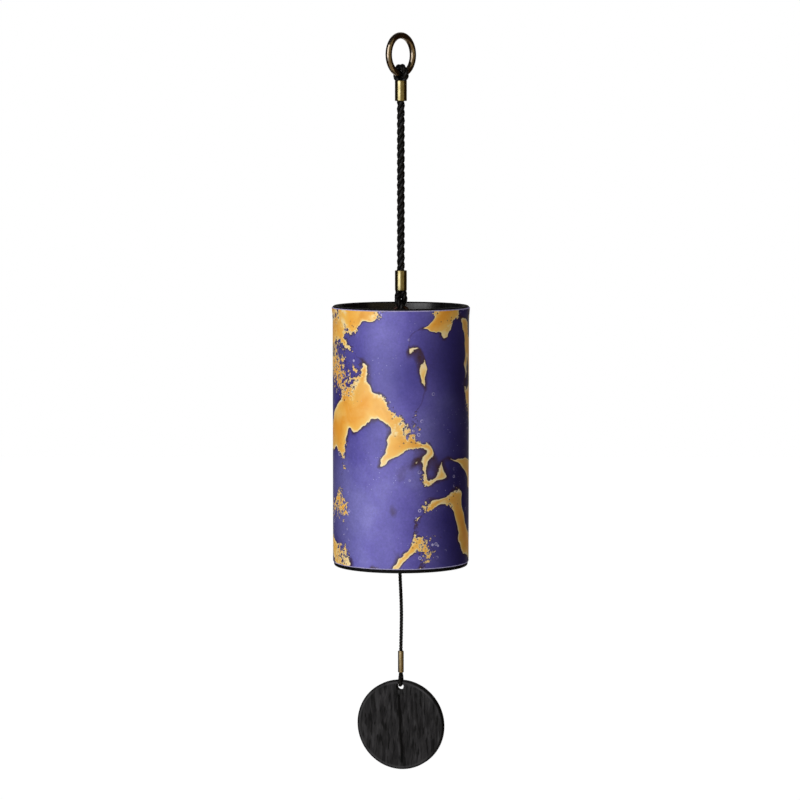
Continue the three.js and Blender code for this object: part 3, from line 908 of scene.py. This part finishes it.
def frothOver(tree, colour, spot, moved, share, patches):
    edge = gold["edge"]

    # Pores in the gold
    gap, picked = cells(tree, spot, *froth["poreCells"])
    pore = between(tree, gap, *froth["poreSize"])
    pore = times(tree, pore, between(tree, patches, *froth["porePatches"]), picked)
    pore = times(tree, pore, between(tree, share, edge, edge + froth["poreInside"]))
    colour = blend(tree, pore, colour, froth["pore"])

    # Pale bubbles beside it
    gap, picked = cells(tree, spot, *froth["bubbleCells"])
    bubble = between(tree, apart(tree, gap, froth["bubbleRadius"]), *froth["bubbleLine"])
    bubble = times(tree, bubble, picked, between(tree, patches, *froth["bubblePatches"]))
    outer = between(tree, share, *froth["bubbleOuter"])
    inner = between(tree, share, *[edge + at for at in froth["bubbleInner"]], 1.0, 0.0)
    bubble = times(tree, bubble, times(tree, outer, inner))
    colour = blend(tree, bubble, colour, froth["bubble"])

    # Strewn dots
    gap, picked = cells(tree, spot, *froth["dotCells"])
    dot = times(tree, between(tree, gap, *froth["dotSize"]), picked)
    strewn = between(tree, cloud(tree, moved, *froth["dotPatches"]), *froth["dotFit"])
    return blend(tree, times(tree, dot, strewn), colour, froth["dot"])


printLook = {
    "shift": (0.93, 0.55, 0.82),  # which part of the endless marbling is on the paper
    "gloss": 0.5,
    "speck": (2600, 2, 0.5),
    "rough": (0.36, 0.5),
    "depth": 0.01,
}


def printFinish():
    fixed = {"Specular IOR Level": printLook["gloss"]}
    material, tree, shader = newFinish("marbledPrint", fixed)
    spot = place(tree)
    inputs = {0: spot, 1: printLook["shift"]}
    moved = addNode(tree, "VectorMath", inputs, operation="ADD").outputs[0]
    flow = pulled(tree, pulled(tree, moved, *gold["swirl"]), *gold["ripple"])
    patches = cloud(tree, moved, *froth["patches"])
    share = goldShare(tree, spot, flow, patches)
    colour = goldOver(tree, violetGround(tree, spot, moved), flow, share)
    colour = frothOver(tree, colour, spot, moved, share, patches)
    speck = cloud(tree, spot, *printLook["speck"])
    rough = between(tree, speck, *usual, *printLook["rough"])
    coat(tree, shader, colour, rough, speck, printLook["depth"])
    return material


def makeWrap():
    low, high = span("printed_wrap")
    bottom, top, cut = low.z, high.z, wrap["cut"]
    heights = [bottom, *stepped(bottom + cut, top - cut, wrap["rows"]), top]
    rows, columns = len(heights), wrap["columns"]
    gap = wrap["seam"] / 2 / tube["outer"]
    points = []
    for proud in (wrap["thickness"], wrap["sink"]):
        for height in heights:
            whole = bottom < height < top
            reach = tubeRadius(height) + (proud if whole else min(proud, wrap["cutThickness"]))
            for turn in stepped(gap, math.tau - gap, columns - 1):
                points.append((*spoke(reach, math.pi / 2 + turn), height))
    layer = rows * columns
    faces = gridFaces(rows, columns) + gridFaces(rows, columns, layer)
    sheets = len(faces)
    for first in (0, layer - columns):  # the bottom and top edges
        for column in range(first, first + columns - 1):
            faces.append([column, column + 1, column + 1 + layer, column + layer])
    for first in (0, columns - 1):  # the two sides of the seam
        for corner in range(first, layer - columns, columns):
            faces.append([corner, corner + columns, corner + columns + layer, corner + layer])
    piece = addMesh("printedWrap", (points, faces))
    # the cut edges take the pale edge finish, partly a painted highlight
    edges = [0] * sheets + [1] * (len(faces) - sheets)
    perRow = columns - 1
    for first in (0, (rows - 2) * perRow):  # the slanted cuts
        edges[first:first + perRow] = [1] * perRow
    finishes = [printFinish(), plainFinish("paperEdge", paperEdgeLook)]
    settle(piece, "resonator", finishes, "printed_wrap")
    piece.data.polygons.foreach_set("material_index", edges)


makeWrap()
print("tube and printed wrap made")

# Plate with its bolt, nut, washers and rods
toolPast = 1  # how far a cutting tool reaches past a face


def bevelledDisc(bore, outer, bottom, top, bevel):
    profile = [
        (bore, bottom), (outer - bevel, bottom), (outer, bottom + bevel),
        (outer, top - bevel), (outer - bevel, top), (bore, top),
    ]
    return profile if bore == 0 else [*profile, profile[0]]


bolt = {
    "wire": 2.2,
    "eyeInner": 5.4,
    "eyeAround": 96,
    "eyeSides": 24,
    "shank": 2.0,
    "neck": 0.5,  # plain shank under the collar
    "collar": 3.2,
    "collarHeight": 1.6,
    "collarBevel": 0.2,
    "collarEdge": 0.7,
    "collarSteps": 5,
    "collarSides": 72,
    "root": 0.4,  # of the collar, in the eye's wire
    "hole": 1.15,
    "holeUp": 3.0,  # from the bolt's end
    "holeReach": 5,
    "holeSides": 32,
    "pitch": 0.7,
    "threadDepth": 0.36,
    "threadTop": 0.2,  # under the collar
    "crest": 1.15,
    "rowsPerTurn": 8,
    "sharp": 40,
    "sides": 48,
}


def threadedBar(bottom, top):
    depth, pitch, sides = bolt["threadDepth"], bolt["pitch"], bolt["sides"]
    rows = round((top - bottom) / pitch * bolt["rowsPerTurn"])
    points = []
    for height in stepped(bottom, top, rows):
        taper = min(1, (height - bottom) / pitch)
        for side in range(sides):
            turn = (height / pitch - side / sides) % 1
            crest = min(1, max(0, bolt["crest"] - abs(turn - 0.5) * 2 * bolt["crest"]))
            reach = bolt["shank"] - depth * (1 - crest * taper)
            points.append((*spoke(reach, math.tau * side / sides), height))
    faces = gridFaces(rows + 1, sides, closeColumns=True)
    faces += [list(range(sides)), list(range(rows * sides, (rows + 1) * sides))]
    return points, faces


def makeBolt():
    low, high = span("eye_bolt")
    wire, shank, wide = bolt["wire"], bolt["shank"], bolt["collar"]
    radius = (bolt["eyeInner"] + wire) / 2
    eyeCentre = high.z - wire / 2 - radius
    top = eyeCentre - radius  # of the collar
    bottom = top - bolt["collarHeight"]
    eye = wireRing(eyeCentre, radius, wire, 0, bolt["eyeAround"], bolt["eyeSides"])
    piece = addMesh("eyeBolt", eye)
    neck, bevel, root = bottom - bolt["neck"], bolt["collarBevel"], top + bolt["root"]
    collar = turned([
        (0, neck), (shank, neck), (shank, bottom), (wide - bevel, bottom), (wide, bottom + bevel),
        *arc(wire / 2, bottom + bolt["collarEdge"], wide - wire / 2, 0, 0.5, bolt["collarSteps"]),
        (wire / 2, root), (0, root),
    ], bolt["collarSides"])
    carve(piece, [collar, threadedBar(low.z, bottom - bolt["threadTop"])], "UNION")
    points, faces = roundBar(bolt["hole"], -bolt["holeReach"], bolt["holeReach"], bolt["holeSides"])
    acrossHole = [(z, y, low.z + bolt["holeUp"] - x) for x, y, z in points]
    carve(piece, [(acrossHole, faces)])
    settle(piece, "resonator", [copper], "eye_bolt", bolt["sharp"])


nut = {
    "flat": 3.5,
    "bore": 2.02,
    "faceIn": 0.1,  # from the flats to the chamfer's edge
    "steep": 1.1,
    "past": 0.2,  # the cones start outside the nut, so that no two flat ends meet
    "sharp": 20,
    "sides": 96,
}


def makeNut():
    low, high = span("plate_nut")
    flat, past, sides = nut["flat"], nut["past"], nut["sides"]
    corner = flat / math.cos(math.pi / 6)
    rim = corner - flat
    points, faces = roundBar(corner, low.z, high.z, 6)
    turn = Matrix.Rotation(math.pi / 6, 3, "Z")
    piece = addMesh("plateNut", ([turn @ Vector(spot) for spot in points], faces))
    wide, tall = corner + rim, rim * nut["steep"]
    narrow = flat - nut["faceIn"] - past * (wide - flat + nut["faceIn"]) / tall
    chamfer = turned([
        (0, low.z - past), (narrow, low.z - past), (wide, low.z + tall),
        (wide, high.z - tall), (narrow, high.z + past), (0, high.z + past),
    ], sides)
    carve(piece, [chamfer], "INTERSECT")
    carve(piece, [roundBar(nut["bore"], low.z - toolPast, high.z + toolPast, sides)])
    settle(piece, "resonator", [drawnSteel], "plate_nut", nut["sharp"])


washer = {"bore": 2.15, "bevel": 0.15, "sides": 96}


def makeWasher(name, node):
    low, high = span(node)
    profile = bevelledDisc(washer["bore"], high.x, low.z, high.z, washer["bevel"])
    piece = addMesh(name, turned(profile, washer["sides"]))
    settle(piece, "resonator", [sheetSteel], node)


rod = {
    "count": 8,
    "radius": 1.5,
    "chamfer": 0.3,
    "braze": 1.2,  # reach of the fillet under the plate
    "brazeHeight": 2.1,
    "brazeCurve": 2.2,
    "collar": 0.35,  # over the plate, as a share of the fillet's reach
    "skin": 0.05,  # of braze in the plate's hole
    "steps": 8,
    "sharp": 40,
    "sides": 40,
}


def rodPlace(number):
    low, high = span(f"chime_rod_{number}")
    return (low.x + high.x) / 2, (low.y + high.y) / 2


plate = {
    "bevel": 0.3,
    "boltGap": 0.25,  # round the bolt and the rods in their holes
    "rodGap": 0.08,
    "holeSides": 32,
    "sides": 192,
}


def makePlate():
    low, high = span("chime_plate")
    profile = bevelledDisc(0, high.x, low.z, high.z, plate["bevel"])
    piece = addMesh("chimePlate", turned(profile, plate["sides"]))
    holes = [(bolt["shank"] + plate["boltGap"], 0, 0)]
    for number in range(1, rod["count"] + 1):
        holes.append((rod["radius"] + plate["rodGap"], *rodPlace(number)))
    under, over = low.z - toolPast, high.z + toolPast
    for radius, x, y in holes:
        carve(piece, [roundBar(radius, under, over, plate["holeSides"], x, y)])
    settle(piece, "resonator", [sheetSteel], "chime_plate")


def makeRod(number):  # brazed into the plate
    node = f"chime_rod_{number}"
    low, high = span(node)
    under, over = [corner.z for corner in span("chime_plate")]
    radius, cut, rim = rod["radius"], rod["chamfer"], rod["braze"]
    start, end = under - rod["brazeHeight"], high.z - cut
    profile = [(0, low.z), (radius - cut, low.z), (radius, low.z + cut), (radius, start)]
    shares = stepped(0, 1, rod["steps"])
    for share in shares[1:]:  # the fillet
        profile.append((radius + rim * share ** rod["brazeCurve"], mix(start, under, share)))
    profile += [(radius + rod["skin"], under), (radius + rod["skin"], over)]
    for share in shares:  # the collar
        profile.append((radius + rim * rod["collar"] * (1 - share) ** 2, mix(over, end, share)))
    profile += [(radius - cut, high.z), (0, high.z)]
    piece = addMesh(f"chimeRod{number}", turned(profile, rod["sides"], *rodPlace(number)))
    settle(piece, "resonator", [drawnSteel, brazeMetal], node, rod["sharp"])
    for face in piece.data.polygons:
        face.material_index = int(start < face.center.z / mm < end)


makeBolt()
makeNut()
makeWasher("upperWasher", "upper_washer")
makeWasher("lowerWasher", "lower_washer")
makePlate()
for rodNumber in range(1, rod["count"] + 1):
    makeRod(rodNumber)
print("plate, bolt and rods made")

# Striker: a turned disc of pale wood
paleWood = {
    "gloss": 0.35,
    "bands": (260, 3, 0.6, (0.08, 1, 0.6)),
    "stops": ((0.3, 0.36, 0.2, 0.085), (0.52, 0.5, 0.3, 0.14), (0.72, 0.6, 0.4, 0.21)),
    "lines": (900, 4, 0.65, (0.12, 1, 1)),
    "lineFit": (0.55, 0.75, 0.0, 0.6),
    "line": (0.27, 0.14, 0.055),
    "rough": (0.4, 0.6),
    "depth": 0.04,
}


def paleWoodFinish():
    material, tree, shader = newFinish("paleWood", {"Specular IOR Level": paleWood["gloss"]})
    lines = grain(tree, *paleWood["lines"])
    colour = shades(tree, grain(tree, *paleWood["bands"]), paleWood["stops"])
    colour = blend(tree, between(tree, lines, *paleWood["lineFit"]), colour, paleWood["line"])
    rough = between(tree, lines, *usual, *paleWood["rough"])
    coat(tree, shader, colour, rough, lines, paleWood["depth"])
    return material


striker = {"bore": 0.95, "soft": 0.3, "edge": 1.2, "edgeSteps": 7, "sides": 144}


def makeStriker():
    low, high = span("striker_disc")
    bore, soft = striker["bore"], striker["soft"]
    edge, steps = striker["edge"], striker["edgeSteps"]
    profile = [
        (bore, low.z + soft),
        (bore + soft, low.z),
        *arc(high.x - edge, low.z + edge, edge, 3, 4, steps),
        *arc(high.x - edge, high.z - edge, edge, 0, 1, steps),
        (bore + soft, high.z),
        (bore, high.z - soft),
    ]
    piece = addMesh("strikerDisc", turned([*profile, profile[0]], striker["sides"]))
    settle(piece, "striker", [paleWoodFinish()], "striker_disc")


makeStriker()
print("striker made")

# Wind sail: black-stained wood with open vertical grain
blackWood = {
    "gloss": 0.04,
    "streaks": (620, 3, 0.6, (1, 1, 0.17)),
    "stops": (
        (0.34, 0.0105, 0.01, 0.0104), (0.52, 0.021, 0.02, 0.0207), (0.68, 0.037, 0.0353, 0.0365),
    ),
    "dashes": (760, 2, 0.5, (1, 1, 0.2)),
    "dashFit": (0.53, 0.63, 0.0, 0.9),
    "dash": (0.0045, 0.0044, 0.0045),
    # the colour of the painted highlight line inside the rim
    "rimHighlight": (0.052, 0.05, 0.052),
    # painted shade at the rim, in the hole and in the grain, partly the wood's own dark grain and
    # split line
    "grainAndShade": (0.0015, 0.0015, 0.0015),
    "rough": (0.62, 0.46),
    "depth": 0.05,
}


def blackWoodFinish():
    material, tree, shader = newFinish("blackWood", {"Specular IOR Level": blackWood["gloss"]})
    streaks = grain(tree, *blackWood["streaks"])
    dashes = between(tree, grain(tree, *blackWood["dashes"]), *blackWood["dashFit"])
    colour = shades(tree, streaks, blackWood["stops"])
    colour = blend(tree, dashes, colour, blackWood["dash"])
    # a painted highlight line just inside the rim, in patches
    rimHighlight = addNode(tree, "Attribute", attribute_name="paintedHighlight").outputs["Fac"]
    colour = blend(tree, rimHighlight, colour, blackWood["rimHighlight"])
    # painted shade at the rim, in the hole and in the grain, partly the wood's own dark grain
    grainAndShade = addNode(tree, "Attribute", attribute_name="grainAndShade").outputs["Fac"]
    colour = blend(tree, grainAndShade, colour, blackWood["grainAndShade"])
    rough = between(tree, streaks, *usual, *blackWood["rough"])
    coat(tree, shader, colour, rough, streaks, blackWood["depth"])
    return material


openGrain = {
    "depth": 0.07,
    "fine": (1.35, 0.14, 0.9),  # scale across and up, and weight
    "fineLayer": (5.0, 40.0),  # of the noise, in front and behind
    "broad": (0.6, 0.07, 0.6),
    "broadLayer": (17.0, 60.0),
    "closed": 0.22,
    "gain": 1.3,
    "fade": (1.2, 0.1),  # from the face's edge
}
splitLine = {
    "depth": 0.14,
    "top": (-0.6, 15.5),
    "bottom": (1.2, -19.0),
    "side": (0.4, 0.85),
    "ends": 2,
    "wander": (0.25, 0.14),  # how far and how often
    "layer": (3.0, 9.0),
}


def grainNoise(across, up, layer, scaleAcross, scaleUp, weight):
    return noise.noise(Vector((across * scaleAcross, up * scaleUp, layer))) * weight


def splitAt(across, up):  # how deep the split line is, as a share of the grain's depth
    (topX, topZ), (bottomX, bottomZ) = splitLine["top"], splitLine["bottom"]
    reach, often = splitLine["wander"]
    middle = mix(topX, bottomX, (topZ - up) / (topZ - bottomZ))
    wander = reach * noise.noise(Vector((up * often, *splitLine["layer"])))
    split = 1 - ease(abs(across - middle - wander), *splitLine["side"])
    split = split * ease(topZ - up, 0, splitLine["ends"]) * ease(up - bottomZ, 0, splitLine["ends"])
    return split * splitLine["depth"] / openGrain["depth"]


def grooveAt(across, up, front):  # how deep the open grain is, from 0 to 1, and more in the split
    side = 0 if front else 1
    fine = grainNoise(across, up, openGrain["fineLayer"][side], *openGrain["fine"])
    broad = grainNoise(across, up, openGrain["broadLayer"][side], *openGrain["broad"])
    depth = max(0, fine + broad - openGrain["closed"]) * openGrain["gain"]
    return max(depth, splitAt(across, up)) if front else depth


sail = {
    "turn": sailTurn,
    "thickness": 3.0,
    "edge": 0.4,
    "edgeSteps": 5,
    "hole": 1.66,
    "holeDrop": 2.8,  # from the rim to the hole's centre
    "holeSoft": 0.35,
    "holeSides": 48,
    "across": 150,
    "along": 100,
    "sharp": 45,
}


def holeTool(height, half):  # the hole with softened mouths, along Y
    bore, soft = sail["hole"], sail["holeSoft"]
    wide, past = bore + toolPast + soft, half + toolPast
    points, faces = turned([
        (0, -past), (wide, -past), (bore, soft - half),
        (bore, half - soft), (wide, past), (0, past),
    ], sail["holeSides"])
    return [(x, z, height - y) for x, y, z in points], faces


sailShade = {  # what the painted highlight and grain-and-shade attributes hold
    "faceDepths": 3,  # nothing on a face lies deeper than this many split lines
    # painted shade on the rounded rim and in the hole
    "rim": 0.75,
    "darkRim": (0.0, 0.35),  # painted shade at the face's edge, fading inwards
    # painted shade in the sunk grain and split, partly the wood's own dark grain
    "grainAndShade": 0.6,
    # a painted highlight line this far inside the face's edge, in patches
    "highlightLine": 0.7,
    "highlightSide": (0.15, 0.6),
    "highlightShare": 0.5,
    "highlightPatch": 90,
}


def shadeSail(piece, face, half):  # painted shade at the rim, in the hole and in the grain, partly the wood's own dark grain, with a painted highlight line inside it
    grainAndShade = piece.data.attributes.new("grainAndShade", "FLOAT", "POINT")
    paintedHighlight = piece.data.attributes.new("paintedHighlight", "FLOAT", "POINT")
    deepest = half - sailShade["faceDepths"] * splitLine["depth"]
    for index, corner in enumerate(piece.data.vertices):
        across, depth, up = corner.co / mm
        inward = face - math.hypot(across, up)  # from the face's edge
        if abs(depth) <= deepest or inward <= 0:  # the rim and the hole, dark as painted shade
            grainAndShade.data[index].value = sailShade["rim"]
            continue
        # painted shade at the rim and in the grain and split, partly the wood's own dark grain
        rim = sailShade["rim"] * (1 - ease(inward, *sailShade["darkRim"]))
        sunk = grooveAt(across, up, depth < 0) * sailShade["grainAndShade"]
        grainAndShade.data[index].value = min(1, max(rim, sunk))
        # a painted highlight line just inside the face's edge, in patches
        line = 1 - ease(abs(inward - sailShade["highlightLine"]), *sailShade["highlightSide"])
        patch = noise.noise(corner.co * sailShade["highlightPatch"])
        paintedHighlight.data[index].value = line * (sailShade["highlightShare"] + patch)


def makeSail():
    low, high = span("wind_sail")
    radius, middle = (high.z - low.z) / 2, (high.z + low.z) / 2
    half, edge, steps = sail["thickness"] / 2, sail["edge"], sail["edgeSteps"]
    face = radius - edge
    fadeEnds = [face - inward for inward in openGrain["fade"]]
    rows, columns = sail["along"] + 1, sail["across"] + 1
    points, faces = [], []
    for front in (True, False):
        first = len(points)
        for row in range(rows):
            for column in range(columns):
                u, v = 2 * column / sail["across"] - 1, 2 * row / sail["along"] - 1
                across = face * u * math.sqrt(1 - v * v / 2)
                up = face * v * math.sqrt(1 - u * u / 2)
                fade = 1 - ease(math.hypot(across, up), *fadeEnds)
                sunk = half - openGrain["depth"] * grooveAt(across, up, front) * fade
                points.append((across, -sunk if front else sunk, up))
        faces += gridFaces(rows, columns, first)
    border = list(range(columns))
    border += [row * columns + columns - 1 for row in range(1, rows)]
    border += [(rows - 1) * columns + column for column in range(columns - 2, -1, -1)]
    border += [row * columns for row in range(rows - 2, 0, -1)]
    rims = [border]
    profile = arc(face, half - edge, edge, 1, 0, steps)[1:]
    profile += arc(face, edge - half, edge, 0, -1, steps)[:-1]
    for reach, depth in profile:  # the rounded rim, from the front face to the back
        rims.append(list(range(len(points), len(points) + len(border))))
        for corner in border:
            out = Vector((points[corner][0], 0, points[corner][2])).normalized() * reach
            points.append((out.x, -depth, out.z))
    rims.append([corner + rows * columns for corner in border])
    for before, after in zip(rims, rims[1:]):
        for side in range(len(border)):
            follow = (side + 1) % len(border)
            faces.append([before[side], before[follow], after[follow], after[side]])
    piece = addMesh("windSail", (points, faces))
    carve(piece, [holeTool(radius - sail["holeDrop"], half)])
    shadeSail(piece, face, half)
    turn = Matrix.Rotation(math.radians(sail["turn"]), 4, "Z")
    piece.data.transform(Matrix.Translation((0, 0, middle * mm)) @ turn)
    settle(piece, "sail", [blackWoodFinish()], "wind_sail", sail["sharp"])


makeSail()
print("wind sail made")

# Studio: a floor far below, soft lamps in front and behind, and flags that only metal and gloss see
studio = {
    "floorDrop": 1.75,
    "floorSize": 30.0,
    "floorColour": (0.85, 0.85, 0.85, 1),
    "floorGlow": 0.93,  # as the camera sees it
    "ambient": 0.09,
    "ambientColour": (0.95, 0.97, 1, 1),
    "lamps": (  # name, degrees left of the viewpoint and up, distance, size, power, shown in gloss
        ("keyLamp", 32, 20, 1.7, (2.0, 1.9), 36.0, True),
        ("backLamp", -155, 15, 1.7, (1.6, 1.6), 18.0, False),
        ("underLamp", 0, -90, 1.2, (0.8, 0.8), 7.0, False),
    ),
    "flags": (  # each end's degrees to the right and distance, then bottom, top and colour
        ((-150, 0.9), (-58, 0.9), -1.2, 0.9, (0.04, 0.025, 0.014)),
        ((-58, 0.9), (8, 0.9), -1.2, -0.45, (0.85, 0.68, 0.46)),
        ((-12, 1.2), (62, 0.65), -1.2, 0.9, (0.85, 0.68, 0.36)),
        ((62, 0.9), (150, 0.9), -1.2, 0.9, (0.06, 0.034, 0.018)),
        ((150, 0.9), (210, 0.9), -0.6, 0.5, (0.5, 0.47, 0.42)),
    ),
    "covers": (  # height, radius and colour of a round card over the object, and of one under it
        (0.9, 0.9, (0.09, 0.085, 0.08)),
        (-1.2, 0.9, (0.75, 0.6, 0.42)),
    ),
    "coverSides": 48,
}


def seenDirectly(tree):  # camera, glossy and transmission rays
    path = addNode(tree, "LightPath").outputs
    both = calc(tree, "MAXIMUM", path["Is Camera Ray"], path["Is Glossy Ray"])
    return calc(tree, "MAXIMUM", both, path["Is Transmission Ray"])


def makeWorld():
    world = bpy.data.worlds.new("studio")
    world.use_nodes = True
    tree = world.node_tree
    tree.nodes.clear()
    white = addNode(tree, "Background", {"Color": (1, 1, 1, 1), "Strength": 1.0})
    inputs = {"Color": studio["ambientColour"], "Strength": studio["ambient"]}
    dim = addNode(tree, "Background", inputs)
    inputs = {0: seenDirectly(tree), 1: dim.outputs[0], 2: white.outputs[0]}
    addNode(tree, "OutputWorld", {"Surface": addNode(tree, "MixShader", inputs).outputs[0]})
    scene.world = world


def makeFloor():
    half, drop = studio["floorSize"] / 2 / mm, -studio["floorDrop"] / mm
    corners = [(x * half, y * half, drop) for x, y in ((-1, -1), (1, -1), (1, 1), (-1, 1))]
    floor = addMesh("floor", (corners, [(0, 1, 2, 3)]))
    material, tree, shader = newFinish("paleFloor", {
        "Base Color": studio["floorColour"],
        "Roughness": 0.9,
        "Specular IOR Level": 0.0,
        "Emission Color": (1, 1, 1, 1),
    })
    glow = times(tree, seenDirectly(tree), studio["floorGlow"])
    tree.links.new(glow, shader.inputs["Emission Strength"])
    floor.data.materials.append(material)


def around(degrees, distance, height):  # a place round the object, from the viewpoint's direction
    angle = math.radians(degrees)
    return Vector((math.sin(angle) * distance, -math.cos(angle) * distance, height))


def makeLamps():
    aim = Vector((0, 0, (cadBounds[0].z + cadBounds[1].z) / 2))
    for name, left, up, away, size, power, inGloss in studio["lamps"]:
        level, rise = spoke(away, math.radians(up))
        spot = aim + around(-left, level, rise)
        light = bpy.data.lights.new(name, "AREA")
        light.shape = "RECTANGLE"
        light.size, light.size_y = size
        light.energy = power
        lamp = bpy.data.objects.new(name, light)
        lamp.location = spot
        lamp.rotation_euler = (aim - spot).to_track_quat("-Z", "Y").to_euler()
        lamp.visible_camera = False
        lamp.visible_glossy = inGloss
        scene.collection.objects.link(lamp)


def addFlag(name, shape, colour):
    fixed = {"Base Color": (*colour, 1), "Roughness": 1.0, "Specular IOR Level": 0.0}
    flag = addMesh(name, shape)
    flag.data.materials.append(newFinish(name, fixed)[0])
    flag.visible_camera = False
    flag.visible_diffuse = False
    flag.visible_shadow = False
    flag.visible_transmission = False


def makeFlags():
    for number, (start, end, bottom, top, colour) in enumerate(studio["flags"]):
        points = [around(*side, height) / mm for height in (bottom, top) for side in (start, end)]
        addFlag(f"flag{number}", (points, [(0, 1, 3, 2)]), colour)
    for number, (height, radius, colour) in enumerate(studio["covers"]):
        profile = [(0, height / mm), (radius / mm, height / mm)]
        addFlag(f"cover{number}", turned(profile, studio["coverSides"]), colour)


makeWorld()
makeFloor()
makeLamps()
makeFlags()
print("studio lit")
